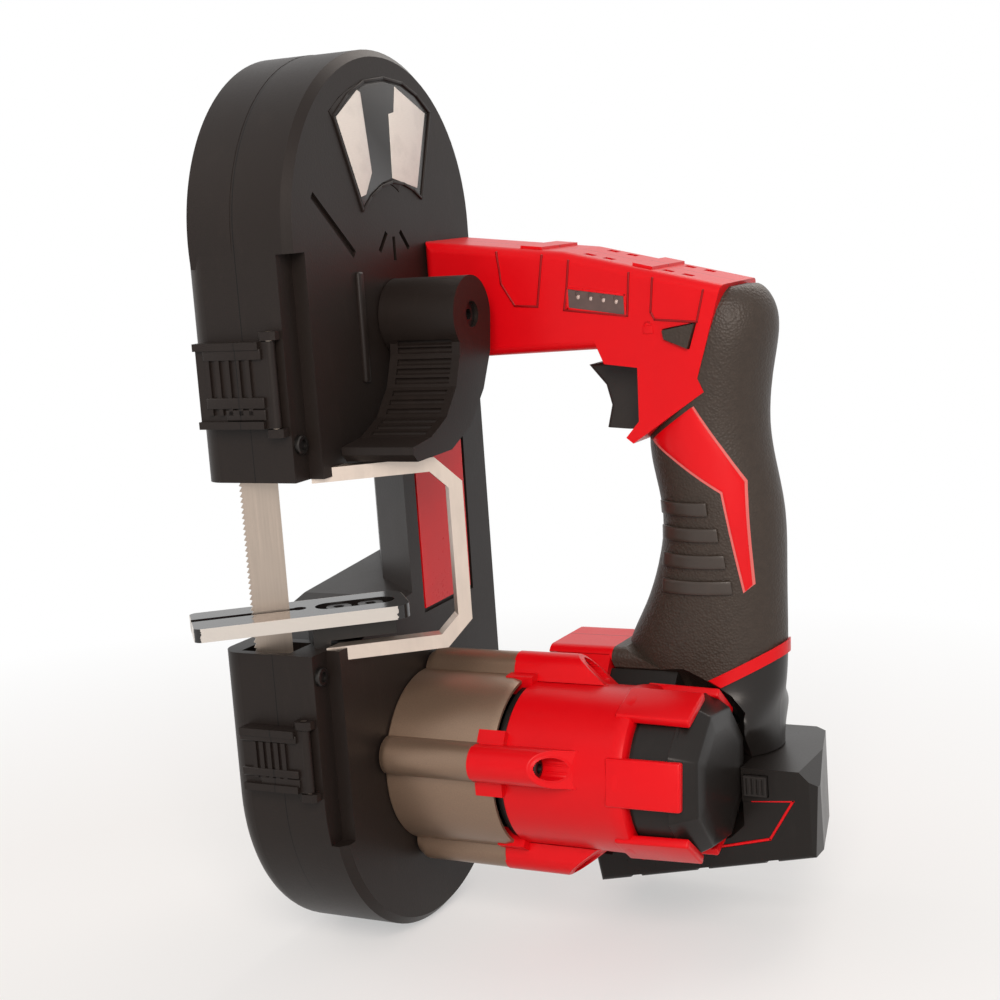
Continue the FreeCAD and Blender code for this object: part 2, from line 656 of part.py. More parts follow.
stand.pad("XY", [rect(12.5, -9, 18, 6)], -throat_floor, throat_floor - shoe_thick)
stand.pad("XY", [rect(12.5, -9, 40, 6)], -10, 10 - shoe_thick)
for s in (22.6, 33.2):
    stand.cut("XY", [circle(s, -1, 2.2)], -shoe_thick - 4, 10)
combine("Cut", "shoe_bracket", [stand, doc.getObject("housing_c")])

TEETH = {"sun": 12, "planet": 18, "ring": 48}
PLANETS = 3
sun_pitch = gear_module * TEETH["sun"] / 2
planet_pitch = gear_module * TEETH["planet"] / 2
ring_pitch = gear_module * TEETH["ring"] / 2
orbit = sun_pitch + planet_pitch
gear_start = 40
tooth_root = 0.30 * math.pi * gear_module
tooth_tip = 0.12 * math.pi * gear_module


def tooth(root, tip, phase):
    """A straight-sided tooth from its root radius to its tip, turned by a phase in degrees."""
    turn = math.radians(phase)
    points = []
    low_side = [(root, -1 * tooth_root), (tip, -1 * tooth_tip)]
    for radius, half in low_side + [(tip, tooth_tip), (root, tooth_root)]:
        points.append((radius * math.cos(turn) - half * math.sin(turn),
                       radius * math.sin(turn) + half * math.cos(turn)))
    return outline(points)


def gear(label, at, kind, bore, phase, start, width):
    """A spur gear about X: a root disc and one tooth repeated."""
    pitch = gear_module * TEETH[kind] / 2
    root = pitch - 1.15 * gear_module
    piece = Piece(label, at)
    piece.pad("YZ", [circle(0, 0, root), circle(0, 0, bore)], start, width)
    piece.pad("YZ", [tooth(root - 0.4, pitch + 0.8 * gear_module, phase)], start, width)
    piece.repeat(TEETH[kind])
    return piece


planet_spots = []
for i in range(PLANETS):
    turn = 2 * math.pi * i / PLANETS
    planet_spots.append((orbit * math.cos(turn), orbit * math.sin(turn)))
for i, (y, z) in enumerate(planet_spots):
    gear("planet_gear_%d" % (i + 1), (0, wheel_radius + y, drive_height + z), "planet", 2.2 + run_gap, 0,
         gear_start, gear_width)
gear("sun_gear", DRIVE, "sun", 2.5, 15, gear_start, gear_width)
ring = Piece("ring_gear", DRIVE)
ring_root = ring_pitch + 1.15 * gear_module
ring.pad("YZ", [circle(0, 0, case_radius - 5), circle(0, 0, ring_root)], gear_start - 1, gear_width + 2)
ring.pad("YZ", [tooth(ring_root + 0.4, ring_pitch - 0.8 * gear_module, 3.75)], gear_start - 1, gear_width + 2)
ring.repeat(TEETH["ring"])

carrier = Piece("planet_carrier", DRIVE)
carrier.pad("YZ", [circle(0, 0, output_radius)], -half_width, gear_start + half_width - 5)
carrier.pad("YZ", [circle(0, 0, ring_root - 4)], gear_start - 6, 5)
for y, z in planet_spots:
    carrier.pad("YZ", [circle(y, z, 2.2)], gear_start - 1, gear_width + 1)
wheel_nut = Piece("wheel_nut", DRIVE)
wheel_nut.pad("YZ", [outline([(8 * math.cos(math.radians(a)), 8 * math.sin(math.radians(a)))
                              for a in range(0, 360, 60)])], -half_width - 4, 4)
bearings = Piece("output_bearings", DRIVE)
for start in (12, 25):
    bearings.pad("YZ", [circle(0, 0, 11), circle(0, 0, output_radius + run_gap)], start, 8)

bore = case_radius - 5
lobe_turns = (20, 100, 165, 235, 305)
sleeve_turn = 20


def lobes(piece, reach, radius, start, length, shift=0):
    """Screw columns spread round a case."""
    for turn in lobe_turns:
        lean = math.radians(turn - shift)
        piece.pad("YZ", [circle(reach * math.cos(lean), reach * math.sin(lean), radius)], start, length)
    return piece


case = Piece("gearcase", DRIVE)
case.turn([(front_face, 11), (front_face + 6, 11), (front_face + 6, bore), (case_end, bore),
           (case_end, case_radius - 1), (front_face + 30, case_radius - 1),
           (front_face + 28, case_radius), (front_face, case_radius)])
lobes(case, case_radius - 6.5, 10, front_face, 30)
case.cut("YZ", [circle(0, 0, bore)], front_face + 6, 40)

sleeve = Piece("motor_housing", DRIVE, (1, 0, 0), sleeve_turn)
sleeve_in = motor_radius - 3
sleeve.turn([(case_end - 8, case_radius - 0.9), (case_end, case_radius - 0.9), (case_end, sleeve_in),
             (motor_end, sleeve_in), (motor_end, motor_radius - 1.5), (motor_end - 4, motor_radius),
             (case_end - 6, motor_radius), (case_end - 8, motor_radius - 1)])
lobes(sleeve, motor_radius - 5.5, 8.5, case_end - 4, 22, sleeve_turn)
sleeve.cut("YZ", [circle(0, 0, case_radius - 0.9)], case_end - 9, 9)
sleeve.cut("YZ", [circle(0, 0, sleeve_in)], case_end, 60)
for turn in lobe_turns:
    lean = math.radians(turn - sleeve_turn)
    reach = motor_radius + 0.5
    sleeve.cut("YZ", [circle(reach * math.cos(lean), reach * math.sin(lean), 3.2)], case_end + 14, 40)
tongue = [(motor_end - 6, sleeve_in + 0.2), (motor_end, sleeve_in + 0.2), (motor_end + 3, sleeve_in - 0.2),
          (motor_end + 15, cap_radius + 2.1), (motor_end + 16, cap_radius + 4.2),
          (motor_end - 6, motor_radius - 0.6)]
sleeve.pad("XY", [outline(tongue)], -8, 16)
sleeve.repeat(4)

cap = Piece("motor_cap", DRIVE)
cap.turn([(motor_end, 26), (motor_end, sleeve_in), (motor_end + 3, sleeve_in - 0.4),
          (motor_end + 15, cap_radius + 1.9), (cap_end - 2, cap_radius), (cap_end, cap_radius - 2.5),
          (cap_end, 0), (cap_end - 3, 0), (cap_end - 3, cap_radius - 6), (motor_end + 14, cap_radius - 3)])
cap.cut("YZ", [outline([(9, -2.2), (21, -3), (21, 3), (9, 2.2)])], cap_end - 8, 20)
cap.repeat(8)

can = Piece("motor_can", DRIVE)
can.turn([(case_end, 6), (case_end, sleeve_in), (motor_end - 8, sleeve_in), (motor_end - 8, 24.5),
          (case_end + 5, 24.5), (case_end + 5, 6)])
bell = Piece("motor_end_plate", DRIVE)
bell.turn([(motor_end - 8, 6), (motor_end - 8, sleeve_in), (motor_end - 5, sleeve_in), (motor_end - 5, 6)])
rotor = Piece("motor_rotor", DRIVE)
rotor.turn([(gear_start, 0), (motor_end + 6, 0), (motor_end + 6, 2.5), (case_end + 32, 2.5),
            (case_end + 32, 19), (case_end + 8, 19), (case_end + 8, 2.5), (gear_start, 2.5)])
rotor.cut("YZ", [rect(10, -1.2, 20, 1.2)], case_end + 7, 26)
rotor.repeat(12)
motor_bearings = Piece("motor_bearings", DRIVE)
for start, width in ((case_end, 5), (motor_end - 8, 3)):
    motor_bearings.pad("YZ", [circle(0, 0, 6), circle(0, 0, 2.5 + run_gap)], start, width)
fan = Piece("motor_fan", DRIVE)
fan.pad("YZ", [circle(0, 0, 6), circle(0, 0, 2.5)], motor_end - 3, 8)
fan.pad("YZ", [rect(4, -0.8, 21, 0.8)], motor_end - 3, 7)
fan.repeat(9)

grip_near = grip_mid - grip_width / 2
grip_far = grip_mid + grip_width / 2
drop = drive_height + 61.5
ARM = [(front_face, 115.6), (78.5, 109.6), (134.7, 96.2), (125, 66), (127, 61.5), (101, 44.5),
       (98.5, 46.5), (103.5, 52), (104, 70), (92, 71.5), (90, 76.3), (47.9, 75), (front_face, 75)]
CORE = [(119, 63), (129, 78), (135, 66), (135, 17), (110, 17), (110, 52)]
NECK = [(64, drop - 27), (92, drop - 27), (112, drop - 36), (116, drop - 45),
        (116, drop - 63), (64, drop - 63)]
ZONE = [(134.7, 110), (134.7, 96.2), (125, 66), (127, 61.5), (101, 44.5), (80, 44.5),
        (80, drop - 63), (170, drop - 63), (170, 110)]
GRIP = [(drop - 63, 101.5, 142, 20), (drop - 42, 101, 143.5, 19.5), (drop - 29, 88.4, 145, 19),
        (drop - 15, 95, 145.5, 18.5), (0, 101, 146, 18), (20, 104, 146, 18), (45, 101, 142.5, 18),
        (70, 109.5, 145, 17.6), (86, 113, 146.6, 16.5), (95, 123.5, 141, 8.5)]


def grip_loft(label, extra):
    """The grip's rounded solid, lofted through ellipses from the battery end to the tang."""
    sections = []
    for z, front, rear, half in GRIP:
        ellipse = doc.addObject("Part::Ellipse", label + "_section")
        ellipse.MajorRadius = (rear - front) / 2 + extra
        bind(ellipse, "MinorRadius", grip_width / 2 + (half - 18 + extra))
        place(ellipse, ((front + rear) / 2, grip_mid, z))
        sections.append(ellipse)
    loft = doc.addObject("Part::Loft", label)
    loft.Sections = sections
    loft.Solid = True
    loft.Ruled = False
    doc.recompute()
    return loft


grip = grip_loft("grip_solid", 0)
motor_clear = tool("motor_clearance", DRIVE)
lobe_end = case_end + 19


def round_motor(extra):
    """Half outline of the motor with room round it, wider over the lobes, for a cut about its axis."""
    return [(front_face, 0), (front_face, motor_radius + 3.6 + extra), (lobe_end, motor_radius + 3.6 + extra),
            (lobe_end + 2, motor_radius + extra), (motor_end + 1, motor_radius + extra),
            (motor_end + 17, cap_radius + 4.6 + extra), (cap_end + 2, cap_radius + 0.6 + extra),
            (cap_end + 2, 0)]


motor_clear.turn(round_motor(0.4))
stem_hole = tool("stem_hole", (stem_x, stem_y, 0))
stem_hole.pad("XY", [circle(0, 0, stem_radius + 0.4)], drop - 80, 94)
neck = tool("handle_neck_block").pad("XZ", [outline(NECK)], grip_near, grip_width)
neck_top = drop.value - 28
neck.dress("Fillet", 9, lambda b, e: b.ZMin > neck_top and b.YMin > grip_far.value - 0.01)
neck.dress("Fillet", 4, lambda b, e: b.ZMin > neck_top and b.YMax < grip_near.value + 0.01)
neck_body = combine("Cut", "handle_neck", [neck, grip], False)
neck_clear = combine("Cut", "handle_neck_clear", [neck_body, motor_clear], False)
neck_split = tool("neck_split").pad("XZ", [rect(88, drop - 90, 200, drop)], grip_near - 5, grip_width + 10)
neck_red = combine("Cut", "neck_red", [neck_clear, neck_split], False)
neck_black = combine("MultiCommon", "neck_black", [neck_clear, neck_split], False)

TRIGGER = [(81, 70.2), (87, 63.2), (88.7, 56.3), (86.7, 48.6), (95.2, 48), (110, 48), (110, 70.8), (86, 70.8)]
LOCK = [(114, 82.2), (125.5, 84.2), (122.5, 76), (114.5, 79.4)]
GAUGE = [(80, 97.5), (101, 94.3), (101, 87.3), (80, 90.5)]


def top_of_arm(x):
    return 109.6 - (x - 78.5) * 0.238 if x > 78.5 else 109.6 + (78.5 - x) * 0.113


inside = tool("handle_inside")
hollow_arm = [(front_face + grip_wall, 109), (78, 103.5), (108, 97), (108, 81), (front_face + grip_wall, 80)]
inside.pad("XZ", [outline(hollow_arm)], grip_near + grip_wall, grip_width - 2 * grip_wall)
inside.pad("XZ", [rect(89, 47.4, 117, 71.4)], grip_mid - 7.4, 14.8)
inside.pad("XZ", [rect(117, 49, 136.6, 71.4)], grip_mid - 9, 18)
lock_room = [(x + (0.4 if x > 118 else -0.4), z + (0.4 if z > 81 else -0.4)) for x, z in LOCK]
inside.pad("XZ", [outline(lock_room)], grip_near - 5, grip_width + 10)
inside.pad("XZ", [outline(GAUGE)], grip_near - 5, 5.8)
for x in (84, 91, 112, 119):
    inside.pad("XZ", [rect(x, top_of_arm(x) - 3.4, x + 3.6, top_of_arm(x) + 4)], grip_near + 6, 4)
    inside.pad("XZ", [rect(x, top_of_arm(x) - 3.4, x + 3.6, top_of_arm(x) + 4)], grip_far - 10, 4)


def handle_half(label, start, outside):
    """One half of the handle's clamshell: arm, bands, core inside the grip and half of the neck."""
    arm = tool(label + "_arm")
    arm.pad("XZ", [outline(ARM)], start, grip_width / 2)
    arm.dress("Fillet", 3.5, lambda b, e: abs(b.YMin - outside.value) < 0.01
              and b.YLength < 0.01 and b.ZMin > 74.9)
    for x0, x1 in ((62, 70), (103, 110)):
        arm.pad("XZ", [outline([(x0, 88), (x0, top_of_arm(x0) + 0.9), (x1, top_of_arm(x1) + 0.9), (x1, 88)])],
                start + 3.5 if outside is grip_near else start, grip_width / 2 - 3.5)
    core_start = grip_mid - 12 if outside is grip_near else grip_mid
    core = tool(label + "_core").pad("XZ", [outline(CORE)], core_start, 12)
    side = tool(label + "_side").pad("XZ", [rect(0, -90, 200, 150)], start, grip_width / 2)
    half_neck = combine("MultiCommon", label + "_neck", [neck_red, side], False)
    solid = combine("MultiFuse", label + "_solid", [arm, core, half_neck], False)
    for index, cutter in enumerate((inside, stem_hole, motor_clear)):
        name = label if index == 2 else "%s_cut%d" % (label, index)
        solid = combine("Cut", name, [solid, cutter], index == 2)
    return arm, core


near_arm, near_core = handle_half("handle_shell_near", grip_near, grip_near)
far_arm, far_core = handle_half("handle_shell_far", grip_mid, grip_far)

zone = tool("grip_zone").pad("XZ", [outline(ZONE)], grip_near - 10, grip_width + 20)
over = combine("MultiCommon", "overmould_grip", [grip, zone], False)
over = combine("MultiFuse", "overmould_solid", [over, neck_black], False)
for index, cutter in enumerate((near_core, far_core, stem_hole, inside, motor_clear)):
    last = index == 4
    over = combine("Cut", "grip_overmould" if last else "overmould_cut%d" % index, [over, cutter], last)
slab = tool("ring_slab")
slab.pad("XZ", [outline([(90, drop - 52.2), (165, drop - 16.2), (165, drop - 20.6), (90, drop - 56.6)])],
         grip_near - 10, grip_width + 20)
ring_whole = combine("MultiCommon", "ring_whole", [grip_loft("grip_larger", 0.9), slab], False)
ring_open = combine("Cut", "ring_open", [ring_whole, grip], False)
ring_trimmed = combine("Cut", "ring_trimmed", [ring_open, neck_clear], False)
combine("Cut", "grip_ring", [ring_trimmed, motor_clear])

trigger = Piece("trigger").pad("XZ", [outline(TRIGGER)], grip_mid - 7, 14)
trigger.dress("Fillet", 1.5, lambda b, e: b.YLength < 0.01 and b.XMax < 89)
switch = Piece("switch_module").pad("XZ", [rect(117, 49, 136.6, 71.4)], grip_mid - 9, 18)
lock = Piece("lock_button").pad("XZ", [outline(LOCK)], grip_near - 1.5, grip_width + 3)
gauge = Piece("gauge_panel").pad("XZ", [outline(GAUGE)], grip_near, 0.8)
gauge.cut("XZ", [circle(x, 95.9 - 0.15 * (x - 80), 1) for x in (84, 88.6, 93.2, 97.8)], grip_near - 1, 1.4)

base_near = grip_mid - battery_width / 2
base_far = grip_mid + battery_width / 2
slope = 16.5 / 78.4
BASE = [(80, drop - 97.8), (82, drop - 109.3), (160.4, drop - 92.8), (161.5, drop - 68.7),
        (156, drop - 63.4), (104, drop - 63.4), (86, drop - 82)]
LABEL = [(92.3, drop - 97), (98.3, drop - 99.7), (145.4, drop - 88), (154.4, drop - 73.3), (104, drop - 78)]
KEY = (137.2, drop - 72.6, 145, drop - 65.8)
tilt = 11.9
cell_radius = 9.2
cell_length = 65
base = tool("battery_base").pad("XZ", [outline(BASE)], base_near, battery_width)
base.dress("Fillet", 2, lambda b, e: b.YLength < 0.01 and b.ZMax < drop.value - 66)
base.cut("XZ", [outline(LABEL)], base_near - 1, 1.7)
for x in (93, 118, 143):
    low = drop - 109.3 + (x - 82) * slope
    notch = [(x, low - 1), (x + 4.5, low - 1), (x + 4.5, low + 1 + 4.5 * slope), (x, low + 1)]
    base.cut("XZ", [outline(notch)], base_near - 1, battery_width + 2)
taper = tool("battery_taper")
taper.pad("XY", [outline([(158.6, base_near - 1), (162, base_near + 3.5), (150.6, base_far - 4),
                          (145, base_far + 1), (190, base_far + 1), (190, base_near - 1)])], drop - 130, 90)
stem = tool("battery_stem", (stem_x, stem_y, 0)).pad("XY", [circle(0, 0, stem_radius)], drop - 66, 74)
lying = tool("battery_lying_cells", (83.4, grip_mid, drop - 98.2), (0, 1, 0), -tilt)
for y in (-5, 13.6):
    lying.pad("YZ", [circle(y, 0, cell_radius)], 0, cell_length)
standing = tool("battery_standing_cell", (stem_x, stem_y, 0))
standing.pad("XY", [circle(0, 0, cell_radius)], drop - 60, cell_length)
combine("MultiFuse", "battery_cells", [lying, standing])
room = tool("battery_motor_room", DRIVE)
room.turn(round_motor(0.9))
keys = tool("battery_key_room")
for start in (base_near - 1, base_far - 5):
    keys.pad("XZ", [rect(KEY[0] - 0.4, KEY[1] - 0.4, KEY[2] + 0.4, KEY[3] + 0.4)], start, 6)
base = combine("Cut", "battery_base_tapered", [base, taper], False)
battery = combine("MultiFuse", "battery_whole", [base, stem], False)
for index, cutter in enumerate((room, lying, standing, keys)):
    last = index == 3
    battery = combine("Cut", "battery_case" if last else "battery_cut%d" % index, [battery, cutter], last)
Piece("battery_button_near").pad("XZ", [rect(*KEY)], base_near - 1.2, 3.6)
Piece("battery_button_far").pad("XZ", [rect(*KEY)], base_far - 2.4, 3.6)
terminals = Piece("battery_terminals", (stem_x, stem_y, 0))
for y in (-5, 0, 5):
    terminals.pad("XY", [rect(-4, y - 0.5, 4, y + 0.5)], drop + 8, 3)

screws = Piece("case_screws")


def screw_head(y, z, start):
    """A round head facing +X with a six-sided socket."""
    screws.pad("YZ", [circle(y, z, 3.1)], start, 1.6)
    turns = [math.radians(angle) for angle in range(0, 360, 60)]
    corners = [(y + 1.7 * math.cos(turn), z + 1.7 * math.sin(turn)) for turn in turns]
    screws.cut("YZ", [outline(corners)], start + 0.6, 3)


screw_head(loop_left + 4, throat_top + 11.8, block_side)
screw_head(loop_left + 3.6, -throat_floor - 7.5, block_side)
for turn in lobe_turns:
    lean = math.radians(turn)
    reach = motor_radius + 0.5
    screw_head(wheel_radius + reach * math.cos(lean), drive_height + reach * math.sin(lean), case_end + 14)


def finish():
    """Checks every object and writes one file per piece."""
    doc.recompute()
    for obj in doc.Objects:
        if "Invalid" in obj.State or "Error" in obj.State:
            raise RuntimeError("%s did not build" % obj.Label)
    os.makedirs("parts", exist_ok=True)
    for obj in NODES:
        if obj.Shape.isNull() or not obj.Shape.isValid() or not obj.Shape.Solids:
            raise RuntimeError("%s has no valid solid" % obj.Label)
        obj.Shape.exportStep("parts/%s.step" % obj.Label)
    print("pieces", len(NODES))


finish()
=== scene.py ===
"""Looks of a portable band saw: finishes for its solids, moulded detail laid over them, and the studio."""
import json
import math

import bmesh
import bpy
from mathutils import Matrix, Vector
from mathutils.bvhtree import BVHTree


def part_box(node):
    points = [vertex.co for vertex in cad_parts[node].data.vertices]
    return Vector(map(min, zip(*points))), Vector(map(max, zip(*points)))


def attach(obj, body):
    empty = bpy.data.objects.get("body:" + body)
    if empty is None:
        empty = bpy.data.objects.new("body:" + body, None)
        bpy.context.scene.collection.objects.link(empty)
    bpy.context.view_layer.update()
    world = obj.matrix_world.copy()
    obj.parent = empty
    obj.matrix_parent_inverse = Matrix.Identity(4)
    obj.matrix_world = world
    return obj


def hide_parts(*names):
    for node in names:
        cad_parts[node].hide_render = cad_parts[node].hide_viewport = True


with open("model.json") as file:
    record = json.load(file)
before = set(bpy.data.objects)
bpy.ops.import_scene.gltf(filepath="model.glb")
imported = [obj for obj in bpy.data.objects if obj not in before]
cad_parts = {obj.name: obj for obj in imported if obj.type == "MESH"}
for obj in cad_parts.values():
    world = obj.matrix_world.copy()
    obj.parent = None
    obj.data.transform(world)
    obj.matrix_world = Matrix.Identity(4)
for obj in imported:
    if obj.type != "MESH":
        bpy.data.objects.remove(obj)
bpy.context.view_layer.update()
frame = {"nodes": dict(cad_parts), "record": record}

bl_info = {
    "name": "Portable Band Saw Looks",
    "version": (1, 0, 0),
    "blender": (4, 5, 0),
    "location": "3D View > Sidebar > Band Saw",
    "description": "Dresses the packed band saw with finishes and moulded detail and sets up its studio",
    "category": "Object",
}

MM = 0.001
SHOE_TURN = math.radians(40)


class Flow:
    """A shader socket that takes part in Python arithmetic."""

    def __init__(self, finish, socket):
        self.finish = finish
        self.socket = socket

    def _math(self, operation, first, second):
        return self.finish.node("ShaderNodeMath", {"operation": operation}, {0: first, 1: second})

    def __add__(self, other):
        return self._math("ADD", self, other)

    def __radd__(self, other):
        return self._math("ADD", other, self)

    def __sub__(self, other):
        return self._math("SUBTRACT", self, other)

    def __mul__(self, other):
        return self._math("MULTIPLY", self, other)

    def __gt__(self, other):
        return self._math("GREATER_THAN", self, other)

    def __lt__(self, other):
        return self._math("LESS_THAN", self, other)


class Finish:
    """One procedural material: its shader and the nodes that feed it, on object coordinates in metres."""

    def __init__(self, name):
        self.material = bpy.data.materials.new(name)
        self.material.use_nodes = True
        self.tree = self.material.node_tree
        self.shader = self.tree.nodes["Principled BSDF"]
        self.place = self.node("ShaderNodeTexCoord", {}, {}, "Object")

    def node(self, kind, settings, sockets, output=0):
        """Adds a node, sets it up, feeds its sockets with values or links, and gives back one output."""
        node = self.tree.nodes.new(kind)
        for key, value in settings.items():
            if key == "stops":
                ramp = node.color_ramp.elements
                while len(ramp) < len(value):
                    ramp.new(0.5)
                for stop, (spot, colour) in zip(ramp, value):
                    stop.position = spot
                    stop.color = colour
            else:
                setattr(node, key, value)
        for key, value in sockets.items():
            if isinstance(value, Flow):
                self.tree.links.new(value.socket, node.inputs[key])
            else:
                node.inputs[key].default_value = value
        return Flow(self, node.outputs[output])

    def noise(self, scale, detail=3.0, stretch=(1, 1, 1), rough=0.55):
        spot = self.place
        if stretch != (1, 1, 1):
            spot = self.node("ShaderNodeMapping", {}, {"Vector": self.place, "Scale": stretch})
        inputs = {"Vector": spot, "Scale": scale, "Detail": detail, "Roughness": rough}
        return self.node("ShaderNodeTexNoise", {}, inputs)

    def cells(self, scale):
        return self.node("ShaderNodeTexVoronoi", {}, {"Vector": self.place, "Scale": scale}, "Distance")

    def blend(self, factor, first, second):
        """Mixes two colours by a factor."""
        return self.node("ShaderNodeMix", {"data_type": "RGBA"}, {0: factor, 6: first, 7: second}, 2)

    def ramp(self, factor, stops):
        return self.node("ShaderNodeValToRGB", {"stops": stops}, {"Fac": factor})

    def axis(self, letter):
        """One object coordinate, in metres."""
        return self.node("ShaderNodeSeparateXYZ", {}, {0: self.place}, letter)

    def line(self, letter, spot, half):
        """1 on a fine line at one coordinate, 0 elsewhere."""
        reach = self.node("ShaderNodeMath", {"operation": "ABSOLUTE"}, {0: self.axis(letter) - spot * MM})
        return reach < half * MM

    def bump(self, height, depth, strength=1.0):
        return self.node("ShaderNodeBump", {}, {"Height": height, "Distance": depth, "Strength": strength})

    def set(self, **inputs):
        """Feeds the shader: a plain value is set on its socket, a flow is linked."""
        names = {"colour": "Base Color", "rough": "Roughness", "metal": "Metallic", "normal": "Normal",
                 "specular": "Specular IOR Level"}
        for key, value in inputs.items():
            socket = self.shader.inputs[names[key]]
            if isinstance(value, Flow):
                self.tree.links.new(value.socket, socket)
            else:
                socket.default_value = value
        return self.material


def tone(colour, share=1.0):
    """An opaque shader colour from three linear values, lightened or darkened."""
    return tuple(min(1.0, channel * share) for channel in colour[:3]) + (1.0,)


def moulded_plastic(name, colour, rough, grain, depth, wear=1.25, seam=None, shine=0.5):
    """Spark-textured moulding: fine grain, faint flow marks, and a dark line where two shells meet."""
    f = Finish(name)
    flow = f.noise(26, 4)
    fine = f.noise(grain, 2)
    scuff = f.noise(210, 5, (1, 1, 0.25))
    rubbed = f.ramp(scuff, [(0.56, (0, 0, 0, 1)), (0.74, (1, 1, 1, 1))])
    base = f.blend(flow, tone(colour, 0.9), tone(colour, 1.1))
    base = f.blend(rubbed * 0.35, base, tone(colour, wear))
    if seam:
        base = f.blend(f.line(*seam, 0.16), base, tone(colour, 0.12))
    return f.set(colour=base, specular=shine,
                 rough=rough + (flow - 0.5) * 0.16 + (fine - 0.5) * 0.1,
                 normal=f.bump(fine, depth, 0.6))


def stippled_rubber(name, colour):
    """Soft grip rubber with a pebbled skin."""
    f = Finish(name)
    pebble = f.cells(900)
    broad = f.noise(60, 3)
    worn = f.noise(420, 3)
    return f.set(colour=f.blend(worn, tone(colour, 0.8), tone(colour, 1.35)),
                 rough=0.52 + (broad - 0.5) * 0.2,
                 normal=f.bump(pebble, 0.00028, 0.8))


def grip_skin(name, colour):
    """Grip rubber, pebbled where the hand holds it, and plain battery plastic below the slanted ring."""
    f = Finish(name)
    above = (f.axis("Z") - f.axis("X") * 0.48) > -0.0976
    pebble = f.cells(1150)
    broad = f.noise(45, 3)
    worn = f.noise(420, 3)
    rubber = f.blend(worn, tone(colour, 0.8), tone(colour, 1.3))
    return f.set(colour=f.blend(above, (0.014, 0.012, 0.011, 1), rubber),
                 rough=0.34 + above * 0.12 + (broad - 0.5) * 0.2, specular=0.3,
                 normal=f.bump(pebble * above, 0.00022, 0.7))


def shoe_lacquer(name):
    """Gloss black stoved on steel, rubbed bare along the shoe's rim; the shoe is turned like the blade."""
    f = Finish(name)
    turned = f.node("ShaderNodeVectorRotate", {"rotation_type": "Z_AXIS"},
                    {"Vector": f.place, "Angle": -SHOE_TURN})
    run = f.node("ShaderNodeSeparateXYZ", {}, {0: turned}, "X")
    side = f.node("ShaderNodeSeparateXYZ", {}, {0: turned}, "Y")
    chips = f.noise(700, 4) * 0.0005
    long_edge = f.node("ShaderNodeMath", {"operation": "ABSOLUTE"}, {0: side + 0.001}) + chips > 0.0131
    end_edge = f.node("ShaderNodeMath", {"operation": "ABSOLUTE"}, {0: run - 0.0095}) + chips > 0.0356
    bare = f.node("ShaderNodeMath", {"operation": "MAXIMUM"}, {0: long_edge, 1: end_edge})
    rub = f.noise(320, 5, (1, 4, 1))
    black = f.blend(rub, (0.008, 0.007, 0.007, 1), (0.016, 0.014, 0.013, 1))
    return f.set(colour=f.blend(bare, black, (0.62, 0.57, 0.52, 1)), metal=bare * 0.9,
                 rough=0.13 + bare * 0.2 + (rub - 0.5) * 0.1, normal=f.bump(rub, 0.00002, 0.4))


def label_film(name, colour):
    """A blank film label: pale, satin, with faint drawn lines and rubbed spots."""
    f = Finish(name)
    drawn = f.noise(500, 4, (1, 1, 6))
    smudge = f.ramp(f.noise(120, 4), [(0.5, (0, 0, 0, 1)), (0.8, (1, 1, 1, 1))])
    base = f.blend(drawn, tone(colour, 0.92), tone(colour, 1.05))
    return f.set(colour=f.blend(smudge * 0.4, base, tone(colour, 0.6)), rough=0.32 + drawn * 0.15,
                 normal=f.bump(drawn, 0.00001, 0.4))


def brushed_metal(name, colour, rough, stretch, metal=1.0, scale=260):
    """Metal with drawn lines; the stretch gives their direction."""
    f = Finish(name)
    lines = f.noise(scale, 6, stretch, 0.7)
    cloud = f.noise(40, 3)
    return f.set(colour=f.blend(lines, tone(colour, 0.86), tone(colour, 1.1)),
                 metal=metal,
                 rough=rough + (lines - 0.5) * 0.22 + (cloud - 0.5) * 0.08,
                 normal=f.bump(lines, 0.00003, 0.5))


def cast_paint(name, colour):
    """Satin paint with metal flake over a die casting."""
    f = Finish(name)
    flake = f.noise(2600, 2)
    cloud = f.noise(18, 3)
    return f.set(colour=f.blend(flake, tone(colour, 0.85), tone(colour, 1.18)),
                 metal=0.55,
                 rough=0.36 + (cloud - 0.5) * 0.12,
                 normal=f.bump(f.noise(900, 2), 0.00004, 0.5))


def gloss_lacquer(name, colour, rough=0.12):
    """Gloss black stoved lacquer with faint rubbing marks."""
    f = Finish(name)
    rub = f.noise(320, 5, (1, 4, 1))
    cloud = f.noise(30, 2)
    return f.set(colour=f.blend(rub, tone(colour, 0.8), tone(colour, 1.6)),
                 rough=rough + (rub - 0.5) * 0.12 + (cloud - 0.5) * 0.05,
                 normal=f.bump(cloud, 0.00005, 0.4))


